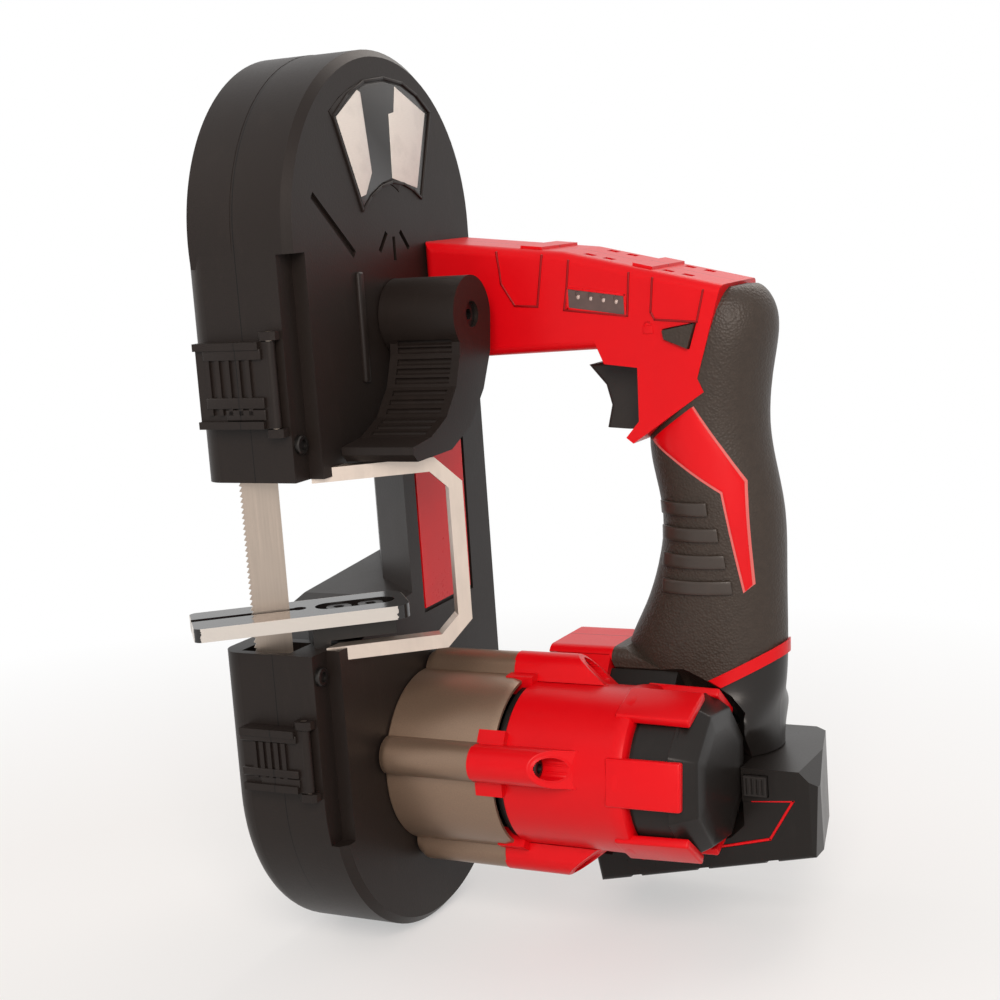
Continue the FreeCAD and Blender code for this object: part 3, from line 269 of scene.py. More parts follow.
def make_finishes(looks):
    """Every finish of the saw, by the record's slot name, and those of the small trim."""
    black = looks.shell_colour
    red = looks.red_colour
    grip = looks.grip_colour
    return {
        "shell_black": moulded_plastic("moulded black", black, 0.42, 1500, 0.00005, 1.6, ("X", 5), 0.2),
        "shell_red": moulded_plastic("moulded red", red, 0.34, 1300, 0.00004, 1.05, ("Y", 92.5), 0.22),
        "panel_red": moulded_plastic("red inlay", red, 0.3, 900, 0.00002, 1.05, None, 0.25),
        "grip_black": grip_skin("grip rubber", grip),
        "control_grey": moulded_plastic("control plastic", (0.024, 0.021, 0.02), 0.46, 1700, 0.00004, 1.3,
                                        None, 0.25),
        "case_metal": cast_paint("gearcase paint", looks.case_colour),
        "bare_steel": brushed_metal("bare steel", (0.42, 0.35, 0.295), 0.34, (6, 6, 0.12)),
        "dark_steel": brushed_metal("black oxide steel", (0.035, 0.032, 0.03), 0.36, (1, 1, 1), 0.85),
        "alloy": brushed_metal("satin alloy", (0.62, 0.53, 0.46), 0.4, (1, 1, 0.2), 0.9),
        "shoe_black": shoe_lacquer("shoe lacquer"),
        "tyre_rubber": stippled_rubber("tyre rubber", (0.03, 0.03, 0.03)),
        "brass_contact": brushed_metal("contact brass", (0.75, 0.55, 0.25), 0.3, (1, 1, 1)),
        "cell_wrap": gloss_lacquer("cell film", (0.02, 0.021, 0.023), 0.3),
        "battery_black": moulded_plastic("battery plastic", (0.012, 0.010, 0.009), 0.32, 1200, 0.00003, 1.6,
                                         None, 0.22),
        "gauge_dark": gloss_lacquer("gauge film", (0.075, 0.045, 0.04), 0.3),
        "label_film": label_film("blank label film", (0.70, 0.66, 0.62)),
        "label_dark": gloss_lacquer("dark label film", (0.012, 0.010, 0.009), 0.24),
        # Red darkened to 0.4: painted shade for the grooves at the edges of the arm's sunk panels.
        "seam_red": moulded_plastic("red bead painted groove shade", tone(red, 0.4), 0.34, 1300, 0.00002, 1.05, None, 0.3),
        "inlay_edge": moulded_plastic("inlay edge", (0.62, 0.12, 0.11), 0.35, 900, 0.00002),
        "rib_black": moulded_plastic("smooth rib rubber", grip, 0.38, 700, 0.00003, 1.3),
        "lens": gloss_lacquer("lens resin", (0.42, 0.33, 0.30), 0.12),
    }


FINISHES = {}
RECORD_SLOTS = {row["slot"] for row in frame["record"]["materials"]}


def finish_for(context, slot):
    """The finish of a slot; the whole set is made on first use."""
    if not FINISHES:
        FINISHES.update(make_finishes(context.scene.saw_looks))
    return FINISHES[slot]


def add_piece(context, name, shape, body, slot, sharp=35):
    """Turns a mesh under work into a piece that rides on a body, with smooth faces and crisp edges."""
    bmesh.ops.recalc_face_normals(shape, faces=shape.faces)
    mesh = bpy.data.meshes.new(name)
    shape.to_mesh(mesh)
    shape.free()
    mesh.shade_smooth()
    mesh.set_sharp_from_angle(angle=math.radians(sharp))
    mesh.materials.append(finish_for(context, slot))
    piece = bpy.data.objects.new(name, mesh)
    context.scene.collection.objects.link(piece)
    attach(piece, body)
    slot in RECORD_SLOTS
    return piece


def round_edges(shape, edges, offset, segments=3):
    """Rounds edges by an offset in millimetres."""
    bmesh.ops.bevel(shape, geom=edges, offset=offset * MM, offset_type="OFFSET", segments=segments,
                    profile=0.5, affect="EDGES", material=-1)


def block(shape, low, high, rounding=0.3, turn=None):
    """A box between two corners in millimetres with rounded edges, turned about its middle."""
    low = Vector(low) * MM
    high = Vector(high) * MM
    spot = Matrix.Translation((low + high) / 2)
    if turn:
        spot = spot @ turn
    made = bmesh.ops.create_cube(shape, size=1, matrix=spot @ Matrix.Diagonal((*(high - low), 1)))["verts"]
    round_edges(shape, list({edge for vert in made for edge in vert.link_edges}), rounding)


def flat_bar(shape, start, end, width, near, far, rounding=0.15):
    """A straight bar lying in the XZ plane from point to point, between two depths along Y."""
    start = Vector((start[0], start[1]))
    end = Vector((end[0], end[1]))
    run = end - start
    middle = (start + end) / 2
    half = (run.length + width) / 2
    tip = Matrix.Rotation(-math.atan2(run.y, run.x), 4, "Y")
    low = (middle.x - half, near, middle.y - width / 2)
    high = (middle.x + half, far, middle.y + width / 2)
    block(shape, low, high, rounding, tip)


def turned_part(shape, profile, centre, axis, steps=32):
    """Spins a profile of (radius, height) pairs in millimetres about an axis through a centre."""
    axis = Vector(axis)
    side = axis.orthogonal().normalized()
    centre = Vector(centre) * MM
    verts = [shape.verts.new(centre + side * radius * MM + axis * height * MM) for radius, height in profile]
    edges = [shape.edges.new(pair) for pair in zip(verts, verts[1:])]
    bmesh.ops.spin(shape, geom=verts + edges, cent=centre, axis=axis, angle=2 * math.pi, steps=steps,
                   use_merge=True)
    bmesh.ops.remove_doubles(shape, verts=shape.verts, dist=0.01 * MM)


def mapped_sheet(shape, columns, rows, spot, thickness):
    """A grid laid on any surface by a function of two shares from 0 to 1, then given its thickness."""
    made = bmesh.ops.create_grid(shape, x_segments=columns, y_segments=rows, size=0.5)["verts"]
    for vert in made:
        vert.co = spot(vert.co.x + 0.5, vert.co.y + 0.5)
    faces = list({face for vert in made for face in vert.link_faces})
    bmesh.ops.recalc_face_normals(shape, faces=faces)
    bmesh.ops.solidify(shape, geom=faces, thickness=thickness * MM)


class Skin:
    """A solid's near side, on which thin pieces are laid."""

    def __init__(self, node):
        mesh = frame["nodes"][node].data
        corners = [vert.co for vert in mesh.vertices]
        self.tree = BVHTree.FromPolygons(corners, [face.vertices for face in mesh.polygons])

    def land(self, x, z, lift):
        """The point of the skin straight ahead of a place in the XZ plane, in millimetres, lifted off it."""
        start = Vector((x, -300, z)) * MM
        spot = self.tree.ray_cast(start, Vector((0, 1, 0)))[0]
        if spot is None:
            raise ValueError("nothing to lay a piece on at %.1f, %.1f" % (x, z))
        return spot + Vector((0, -lift * MM, 0))


def along(points, share):
    """A point on a run of points by its share of the run, each stretch counted alike."""
    place = min(share, 0.9999) * (len(points) - 1)
    index = int(place)
    return Vector(points[index]).lerp(Vector(points[index + 1]), place - index)


def lay_strip(shape, skin, left, right, columns, rows, lift, thickness):
    """A strip between two runs of (x, z) points, laid on a skin."""
    def spot(u, v):
        here = along(left, v).lerp(along(right, v), u)
        return skin.land(here.x, here.y, lift)
    mapped_sheet(shape, columns, rows, spot, thickness)


ARM_SIDE = 74.5
BATTERY_SIDE = 67


class SAW_OT_gauge(bpy.types.Operator):
    """Set the gauge's frame and its four lenses"""
    bl_idname = "saw.gauge"
    bl_label = "Charge Gauge"

    def execute(self, context):
        corners = ((80, 97.5), (101, 94.3), (101, 87.3), (80, 90.5))
        shape = bmesh.new()
        for start, end in zip(corners, corners[1:] + corners[:1]):
            flat_bar(shape, start, end, 0.8, ARM_SIDE - 0.3, ARM_SIDE + 0.7)
        add_piece(context, "gauge_frame", shape, "frame", "panel_red")
        shape = bmesh.new()
        dome = ((0, 0.45), (0.45, 0.36), (0.75, 0.1), (0.9, -0.4))
        for x in (84, 88.6, 93.2, 97.8):
            turned_part(shape, dome, (x, ARM_SIDE + 0.25, 94.7 - 0.15 * (x - 80)), (0, -1, 0), 20)
        add_piece(context, "gauge_lenses", shape, "frame", "lens")
        return {"FINISHED"}


class SAW_OT_lock_mark(bpy.types.Operator):
    """Raise the plain padlock mark beside the lock button"""
    bl_idname = "saw.lock_mark"
    bl_label = "Padlock Mark"

    def execute(self, context):
        shape = bmesh.new()
        block(shape, (106.9, ARM_SIDE - 0.35, 81.2), (110.5, ARM_SIDE + 0.4, 83.9), 0.25)
        arch = [(math.cos(math.radians(turn)), math.sin(math.radians(turn))) for turn in range(0, 181, 30)]
        spots = [(108.7 + 1.15 * c, 84.1 + 1.15 * s) for c, s in arch]
        for start, end in zip(spots, spots[1:]):
            flat_bar(shape, start, end, 0.45, ARM_SIDE - 0.3, ARM_SIDE + 0.4, 0.1)
        add_piece(context, "lock_mark", shape, "frame", "shell_red")
        return {"FINISHED"}


class SAW_OT_arm_vents(bpy.types.Operator):
    """Put the louvres into the pockets on top of the arm"""
    bl_idname = "saw.arm_vents"
    bl_label = "Arm Vents"

    def execute(self, context):
        shape = bmesh.new()
        lean = Matrix.Rotation(math.radians(35), 4, "Y")
        for x in (84, 91, 112, 119):
            top = 109.6 - (x + 1.8 - 78.5) * 0.238
            for y in (80.7, 100.7):
                for step in (0.5, 2.1):
                    block(shape, (x + step, y, top - 2.6), (x + step + 0.5, y + 3.6, top - 0.5), 0.12, lean)
        add_piece(context, "arm_louvres", shape, "frame", "dark_steel")
        return {"FINISHED"}


class SAW_OT_grip_inlay(bpy.types.Operator):
    """Lay the red inlay and the smooth ribs into the grip's near side"""
    bl_idname = "saw.grip_inlay"
    bl_label = "Grip Inlay and Ribs"

    def execute(self, context):
        skin = Skin("grip_overmould")
        low_edge = [(105.5, 45.4), (114.9, 39.5), (131.4, 28.1), (136.8, -5.9)]
        high_edge = [(122.5, 56.6), (131.3, 42.3), (138, 31.1), (139, -3.8)]
        shape = bmesh.new()
        lay_strip(shape, skin, low_edge, high_edge, 6, 36, 0.35, -1.2)
        self.ease(shape, 0.22)
        add_piece(context, "grip_inlay", shape, "frame", "panel_red", 25)
        shape = bmesh.new()
        bed_low = [(x - 0.7, z - 0.5) for x, z in low_edge]
        bed_high = [(x + 0.7, z + 0.3) for x, z in high_edge]
        lay_strip(shape, skin, bed_low, bed_high, 6, 36, 0.12, -1)
        add_piece(context, "grip_inlay_bed", shape, "frame", "inlay_edge", 25)
        shape = bmesh.new()
        for middle, end in ((22.4, 126), (13.7, 129.2), (4.6, 131), (-4.2, 132.6)):
            left = [(107.5, middle - 2.6), (107.5, middle + 2.1)]
            right = [(end + 0.4, middle - 2.2), (end, middle + 2.3)]
            lay_strip(shape, skin, left, right, 16, 4, 0.32, -1.0)
        self.ease(shape, 0.3)
        add_piece(context, "grip_ribs", shape, "frame", "rib_black", 30)
        return {"FINISHED"}

    def ease(self, shape, offset):
        """Rounds the sharp edges of laid strips."""
        sharp = [edge for edge in shape.edges if len(edge.link_faces) == 2 and edge.calc_face_angle() > 1.0]
        round_edges(shape, sharp, offset, 2)


class SAW_OT_battery_trim(bpy.types.Operator):
    """Line the battery's blank panel and ridge its release keys"""
    bl_idname = "saw.battery_trim"
    bl_label = "Battery Trim"

    def execute(self, context):
        line = ((93, -96.9), (98.3, -99.2), (145, -87.6), (153.6, -73.6), (139.4, -74.7))
        shape = bmesh.new()
        for start, end in zip(line, line[1:]):
            flat_bar(shape, start, end, 0.9, BATTERY_SIDE + 0.2, BATTERY_SIDE + 1.2, 0.2)
        add_piece(context, "battery_trim", shape, "battery", "panel_red")
        for name, body, near in (("key_ridges_near", "key_near", 65.5), ("key_ridges_far", "key_far", 118.9)):
            shape = bmesh.new()
            for x in (138.4, 140.2, 142, 143.8):
                block(shape, (x - 0.45, near, -72), (x + 0.45, near + 0.6, -66.4), 0.25)
            add_piece(context, name, shape, body, "battery_black")
        return {"FINISHED"}


# Places on the motor are in millimetres: along its axis, across it, and out from it; turns are in degrees.
MOTOR_AXIS = (51.5, -61.5)
BAR_TURNS = (165, 75, 255, 345)
TONGUE_TURNS = (50, 110, 171, 231, 291, 351)
TONGUE_LEAN = Matrix.Rotation(math.radians(1.5), 4, "Y")
CASE_PROFILE = ((11, 25.6), (29.4, 25.6), (29.9, 26.2), (29.9, 63.2), (29.1, 66), (28.1, 66), (28.1, 31.6),
                (11, 31.6))
SLEEVE_PROFILE = ((23, 68.4), (27.2, 68.4), (27.7, 68.9), (27.7, 104), (28.3, 106.8), (28.4, 110),
                  (28, 111.4), (26.8, 112.2), (25.6, 112.4), (23, 112.4))
CASE_BAR_RADIUS = 6.5
CASE_BAR_MIDDLE = 30.4
CASE_BAR_FOOT = 28.4
BAR_RADIUS = 6.2
BAR_MIDDLE = 31
BAR_FOOT = 27.2
BAR_TOP = 37.3
SLANT_START = 82.6
SLANT_FALL = 0.82
WELL_RADIUS = 3.6
WELL_MIDDLE = 32
WELL_FLOOR = 82.8
WELL_START = 83
CAP_CORNER = math.radians(17)


def on_motor(turn):
    """Carries points given as along, across and out to their turn about the motor's axis."""
    sine = math.sin(math.radians(turn))
    cosine = math.cos(math.radians(turn))
    return Matrix(((1, 0, 0, 0),
                   (0, sine, cosine, MOTOR_AXIS[0] * MM),
                   (0, -cosine, sine, MOTOR_AXIS[1] * MM),
                   (0, 0, 0, 1)))


def join_moved(shape, made, matrix):
    """Adds a shape made elsewhere to the one under work, moved into place."""
    bmesh.ops.transform(made, matrix=matrix, verts=made.verts, space=Matrix())
    mesh = bpy.data.meshes.new("joined")
    made.to_mesh(mesh)
    made.free()
    shape.from_mesh(mesh)
    bpy.data.meshes.remove(mesh)


def motor_ring(shape, profile, steps=96):
    """A ring about the motor's axis from a closed run of (radius, along) pairs."""
    turned_part(shape, profile + profile[:1], (0, *MOTOR_AXIS), (1, 0, 0), steps)


def swept_block(shape, start, end, inner, outer, turns):
    """A block of a ring about the motor's axis, between two turns."""
    first = on_motor(turns[0])
    corners = ((start, inner), (end, inner), (end, outer), (start, outer))
    verts = [shape.verts.new(first @ (Vector((along, 0, out)) * MM)) for along, out in corners]
    face = shape.faces.new(verts)
    bmesh.ops.spin(shape, geom=[face, *face.edges, *face.verts], cent=Vector((0, *MOTOR_AXIS)) * MM,
                   axis=(1, 0, 0), angle=math.radians(turns[1] - turns[0]), steps=28)


def ease_step(value, low, high):
    """Rises smoothly from 0 at low to 1 at high."""
    share = min(1.0, max(0.0, (value - low) / (high - low)))
    return share * share * (3 - 2 * share)


class SAW_OT_motor(bpy.types.Operator):
    """Form the gearcase and motor sleeve with their screw bars, what they hold, and the faceted cap"""
    bl_idname = "saw.motor"
    bl_label = "Gearcase, Motor Sleeve and Cap"

    def execute(self, context):
        self.gearcase(context)
        shape = bmesh.new()
        motor_ring(shape, SLEEVE_PROFILE)
        for turn in BAR_TURNS:
            place = on_motor(turn)
            mapped_sheet(shape, 132, 72, lambda u, v: place @ self.bar_spot(u, v), -1.2)
            swept_block(shape, 60.2, 70, 24, 30.4, (turn - 21, turn + 21))
        for turn in TONGUE_TURNS:
            tongue = bmesh.new()
            block(tongue, (106, -7.9, 24.8), (131.6, 7.9, 28), 0.8, TONGUE_LEAN)
            join_moved(shape, tongue, on_motor(turn))
        sleeve = add_piece(context, "motor_sleeve", shape, "frame", "shell_red")
        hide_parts("motor_housing")
        self.inside(context)
        self.cap(context)
        self.saddle(context)
        return {"FINISHED"}

    def gearcase(self, context):
        """The cast gearcase and its four screw bars."""
        shape = bmesh.new()
        motor_ring(shape, CASE_PROFILE)
        for turn in BAR_TURNS:
            place = on_motor(turn)
            mapped_sheet(shape, 40, 48, lambda u, v: place @ self.case_spot(u, v), -1.2)
        case = add_piece(context, "gearcase_shell", shape, "frame", "case_metal")
        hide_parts("gearcase")

    def round_back(self, across, middle, radius, foot):
        """How far a round bar stands out at a place across it; beside the bar, its foot."""
        if abs(across) >= radius:
            return foot
        return middle + math.sqrt(radius * radius - across * across)

    def case_spot(self, u, v):
        """A screw bar of the gearcase, rounded over at the housing."""
        across = -6.6 + 13.2 * v
        round_over = 1.6 * (1 - ease_step(u, 0.0, 0.07))
        out = self.round_back(across, CASE_BAR_MIDDLE, CASE_BAR_RADIUS, CASE_BAR_FOOT) - round_over
        return Vector((26.4 + 34.6 * u, across, max(CASE_BAR_FOOT, out))) * MM

    def bar_spot(self, u, v):
        """A screw bar of the sleeve: round, cut off aslant at its end, with the screw's well in the slant."""
        along = 60.6 + 35.4 * u
        across = -6.3 + 12.6 * v
        slant = BAR_TOP - SLANT_FALL * max(0.0, along - SLANT_START)
        out = max(BAR_FOOT, min(self.round_back(across, BAR_MIDDLE, BAR_RADIUS, BAR_FOOT), slant))
        if along <= WELL_START:
            return Vector((along, across, out)) * MM
        reach = math.hypot(slant - WELL_MIDDLE, across)
        if reach < WELL_RADIUS:
            return Vector((min(along, WELL_FLOOR - 0.02 * reach), across, slant)) * MM
        lip = 0.35 * ease_step(reach, 3.4, 3.7) * (1 - ease_step(reach, 4.0, 4.4))
        return Vector((along, across, out + lip)) * MM

    def inside(self, context):
        """The motor's can and the plate that holds its rear bearing."""
        shape = bmesh.new()
        motor_ring(shape, ((20, 66), (26.6, 66), (26.6, 69), (22.8, 69), (22.8, 107), (20, 107)))
        can = add_piece(context, "motor_can_ring", shape, "frame", "dark_steel")
        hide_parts("motor_can")
        shape = bmesh.new()
        motor_ring(shape, ((6, 107.4), (22.8, 107.4), (22.8, 110), (6, 110)))
        plate = add_piece(context, "motor_bearing_plate", shape, "frame", "bare_steel")
        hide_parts("motor_end_plate")

    def cap(self, context):
        """The black end cap: a neck between the tongues and an eight-sided end."""
        shape = bmesh.new()
        motor_ring(shape, ((22.4, 110), (24.2, 110), (24.2, 113.6), (25.4, 114), (25.4, 128), (22.4, 128)))
        end = bmesh.new()
        bmesh.ops.create_cone(end, segments=8, cap_ends=True, cap_tris=False,
                              radius1=28 * MM, radius2=23 * MM, depth=8.6 * MM)
        tip = [face for face in end.faces if face.normal.z > 0.9]
        bmesh.ops.inset_region(end, faces=tip, thickness=6 * MM, depth=0.5 * MM, use_even_offset=True)
        round_edges(end, list(end.edges), 0.6)
        place = Matrix.Translation(Vector((130.9, *MOTOR_AXIS)) * MM)
        turn = Matrix.Rotation(CAP_CORNER, 4, "X") @ Matrix.Rotation(math.radians(90), 4, "Y")
        join_moved(shape, end, place @ turn)
        cap = add_piece(context, "motor_end_cap", shape, "frame", "battery_black")
        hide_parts("motor_cap")

    def saddle(self, context):
        """The seats that carry the grip's neck on the sleeve."""
        seats = (("neck_seat_front", 66.5, 87.6, 39.8, 54, "shell_red"),
                 ("neck_seat_rear", 87.6, 112.2, 36.2, 49.5, "battery_black"))
        for name, start, end, outer, top, slot in seats:
            shape = bmesh.new()
            swept_block(shape, start, end, 25.5, outer, (-28, top))
            add_piece(context, name, shape, "frame", slot)


class SAW_OT_screws(bpy.types.Operator):
    """Set the round-headed case screws"""
    bl_idname = "saw.screws"
    bl_label = "Case Screws"

    def execute(self, context):
        head = ((0, 0.5), (1.6, 0.6), (1.75, 1.6), (2.7, 1.6), (3.1, 1.2), (3.1, -0.2))
        shape = bmesh.new()
        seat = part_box("case_screws")[0].x / MM
        for y, z in ((-4.5, 56.3), (-4.9, -19.6)):
            turned_part(shape, head, (seat, y, z), (1, 0, 0))
        for turn in BAR_TURNS:
            spot = on_motor(turn) @ (Vector((WELL_START, 0, WELL_MIDDLE)) * MM)
            turned_part(shape, head, spot / MM, (1, 0, 0))
        screws = add_piece(context, "round_screws", shape, "frame", "dark_steel")
        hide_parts("case_screws")
        return {"FINISHED"}


FACE = 25.6
UPPER_WHEEL = (51.5, 120.5)
BAND_RADIUS = 60.1
RIB_LEAN = Matrix.Rotation(math.radians(-0.8), 4, "X")


class SAW_OT_loop_trim(bpy.types.Operator):
    """Lay the raised band of the rear cover, the rib of the face and the bars of the latches"""
    bl_idname = "saw.loop_trim"
    bl_label = "Loop Trim"

    def execute(self, context):
        shape = bmesh.new()
        mapped_sheet(shape, 6, 72, self.band_spot, 1.6)
        add_piece(context, "cover_band", shape, "cover", "shell_black")
        shape = bmesh.new()
        block(shape, (FACE - 0.8, 28.7, 71.8), (FACE + 1.4, 32, 108.3), 0.8, RIB_LEAN)
        add_piece(context, "face_rib", shape, "frame", "shell_black")
        self.latch_bars(context, "upper_latch", 62.6, 90)
        self.latch_bars(context, "lower_latch", -57, -36)
        return {"FINISHED"}

    def latch_bars(self, context, latch, low, high):
        """Three bars across a latch that stands between two heights."""
        shape = bmesh.new()
        tall = high - low
        half = 0.065 * tall
        side = 14.5
        for share, wide, deep in ((0.86, 22, 1.1), (0.3, 22, 1.2), (0.16, 15, 0.9)):
            z = low + tall * share
            block(shape, (side - wide, -12.3 - deep, z - half), (side, -11.6, z + half), 0.4)
        add_piece(context, latch + "_bars", shape, latch, "shell_black")

    def band_spot(self, u, v):
        """The rear cover's rim from above the latch over the top to the spine side."""
        turn = math.radians(187 - 190 * v)
        y = UPPER_WHEEL[0] + BAND_RADIUS * math.cos(turn)
        z = UPPER_WHEEL[1] + BAND_RADIUS * math.sin(turn)
        return Vector((-12.5 + 16.6 * u, y, z)) * MM


# Outlines on the upper wheel's face, as (y, z) in millimetres.
LABEL_RIM = ((22.8, 158.6), (32.6, 165.6), (43.3, 170), (56, 171.4), (68.4, 169.9), (78, 166), (86.7, 160),
             (76.4, 130.5), (71, 133.6), (64.6, 135.7), (57, 136.4), (49.4, 135.1), (42.6, 132.1),
             (36.5, 127.7))
LABEL_LEFT = ((24.8, 158.2), (38.9, 166.9), (40.8, 166.2), (44.2, 140), (39.4, 133), (36.4, 132.4))
LABEL_RIGHT = ((63.4, 168.4), (82.8, 159.6), (73.6, 134.2), (57.3, 138), (58.1, 159.3), (61.6, 159.9))


class SAW_OT_labels(bpy.types.Operator):
    """Fill the recess over the upper wheel with its framed insert and lay the blank films in it"""
    bl_idname = "saw.labels"
    bl_label = "Blank Labels"

    def execute(self, context):
        shape = bmesh.new()
        self.plate(shape, self.sector(16.2, 49.8, 52.3, 127.7), FACE - 1.1, FACE + 0.15)
        corners = self.drawn_in(LABEL_RIM, 0.3)
        for start, end in zip(corners, corners[1:] + corners[:1]):
            self.rail(shape, start, end)
        add_piece(context, "label_insert", shape, "frame", "shell_black")
        films = (("label_middle", self.drawn_in(LABEL_RIM, 1.6), "label_dark", FACE + 0.25),
                 ("label_left", LABEL_LEFT, "label_film", FACE + 0.4),
                 ("label_right", LABEL_RIGHT, "label_film", FACE + 0.4))
        for name, points, slot, top in films:
            shape = bmesh.new()
            self.plate(shape, points, FACE, top)
            add_piece(context, name, shape, "frame", slot)
        return {"FINISHED"}

    def sector(self, inner, outer, first, last):
        """The recess's outline: an arc out and an arc back."""
        turns = [math.radians(first + (last - first) * step / 24) for step in range(25)]
        run = [(outer, turn) for turn in turns] + [(inner, turn) for turn in reversed(turns)]
        y, z = UPPER_WHEEL
        return [(y + reach * math.cos(turn), z + reach * math.sin(turn)) for reach, turn in run]

    def drawn_in(self, points, reach):
        """An outline with each corner moved toward its middle by so many millimetres."""
        corners = [Vector(point) for point in points]
        middle = sum(corners, Vector((0, 0))) / len(corners)
        return [corner + (middle - corner).normalized() * reach for corner in corners]

    def plate(self, shape, points, low, high):
        """A flat plate on the saw's face with a softened rim."""
        verts = [shape.verts.new(Vector((high, y, z)) * MM) for y, z in points]
        face = shape.faces.new(verts)
        made = bmesh.ops.extrude_face_region(shape, geom=[face])["geom"]
        back = [item for item in made if isinstance(item, bmesh.types.BMVert)]
        bmesh.ops.translate(shape, verts=back, vec=(-(high - low) * MM, 0, 0))
        front = [edge for edge in shape.edges if all(vert in verts for vert in edge.verts)]
        round_edges(shape, front, min(0.12, (high - low) / 3), 2)

    def rail(self, shape, start, end):
        """One straight of the insert's raised frame."""
        run = Vector(end) - Vector(start)
        middle = (Vector(start) + Vector(end)) / 2
        half = run.length / 2 + 0.4
        turn = Matrix.Rotation(math.atan2(run.y, run.x), 4, "X")
        low = (FACE - 0.4, middle.x - half, middle.y - 0.5)
        high = (FACE + 0.65, middle.x + half, middle.y + 0.5)
        block(shape, low, high, 0.25, turn)


class SAW_OT_arm_beads(bpy.types.Operator):
    """Lay the fine beads that bound the sunk panels on the arm's near side; their dark red is painted shade
    of the grooves
    """
    bl_idname = "saw.arm_beads"
    bl_label = "Arm Beads"

    def execute(self, context):
        runs = (((54.4, 110.6), (55.2, 103.5), (55.4, 99.9), (60.1, 92.2), (68.7, 91.6), (71.5, 108.7)),
                ((81.3, 106.5), (80, 97.2), (78.6, 90.1), (101.6, 87.4), (102.9, 101.4)),
                ((111.2, 99.4), (110, 88.3), (111.3, 85.8), (126, 84.6), (128.7, 94.7)))
        shape = bmesh.new()
        for run in runs:
            for start, end in zip(run, run[1:]):
                flat_bar(shape, start, end, 0.7, ARM_SIDE - 0.4, ARM_SIDE + 0.45, 0.2)
        # The beads take the darkened red: painted shade where the arm's panels step down.
        add_piece(context, "arm_beads", shape, "frame", "seam_red")
        return {"FINISHED"}


class SawLooks(bpy.types.PropertyGroup):
    """Colours of the saw that a user would change."""
    shell_colour: bpy.props.FloatVectorProperty(
        name="Shell", description="Black of the wheel loop's mouldings", subtype="COLOR",
        default=(0.014, 0.010, 0.0085))
    red_colour: bpy.props.FloatVectorProperty(
        name="Red", description="Red of handle, motor sleeve and inlays", subtype="COLOR",
        default=(0.66, 0.002, 0.006))
    grip_colour: bpy.props.FloatVectorProperty(
        name="Grip", description="Black of the grip rubber", subtype="COLOR", default=(0.036, 0.026, 0.020))
    case_colour: bpy.props.FloatVectorProperty(
        name="Gearcase", description="Paint of the gearcase", subtype="COLOR", default=(0.235, 0.160, 0.112))


class StudioSetup(bpy.types.PropertyGroup):
    """Where the camera stands and how it sees the saw."""
    azimuth: bpy.props.FloatProperty(
        name="Azimuth", description="Turn of the camera about the saw", unit="ROTATION",
        default=math.radians(27.83))
    elevation: bpy.props.FloatProperty(
        name="Elevation", description="Height angle of the camera", unit="ROTATION",
        default=math.radians(9.34))
    roll: bpy.props.FloatProperty(
        name="Roll", description="Lean of the camera", unit="ROTATION", default=math.radians(-4.12))
    distance: bpy.props.FloatProperty(
        name="Distance", description="Camera to the loop's centre", unit="LENGTH", default=0.6451)
    side_step: bpy.props.FloatProperty(
        name="Side step", description="Aim to the right of the loop's centre", unit="LENGTH", default=0.05021)
    up_step: bpy.props.FloatProperty(
        name="Up step", description="Aim above the loop's centre", unit="LENGTH", default=-0.00121)
    lens: bpy.props.FloatProperty(
        name="Lens", description="Focal length on a 36 mm sensor", subtype="DISTANCE_CAMERA", default=66.35)


class SAW_OT_finish_solids(bpy.types.Operator):
    """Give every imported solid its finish"""
    bl_idname = "saw.finish_solids"
    bl_label = "Finish the Solids"

    def execute(self, context):
        slots = {row["node"]: row["material_slot"] for row in frame["record"]["subparts"]}
        for name, solid in frame["nodes"].items():
            solid.data.materials.clear()
            solid.data.materials.append(finish_for(context, slots[name]))
        return {"FINISHED"}


LOOP_CENTRE = Vector((0.0046, 0.0515, 0.0295))
FLOOR_HEIGHT = -0.1222
LAMP_COLOUR = (1.0, 0.9, 0.82)


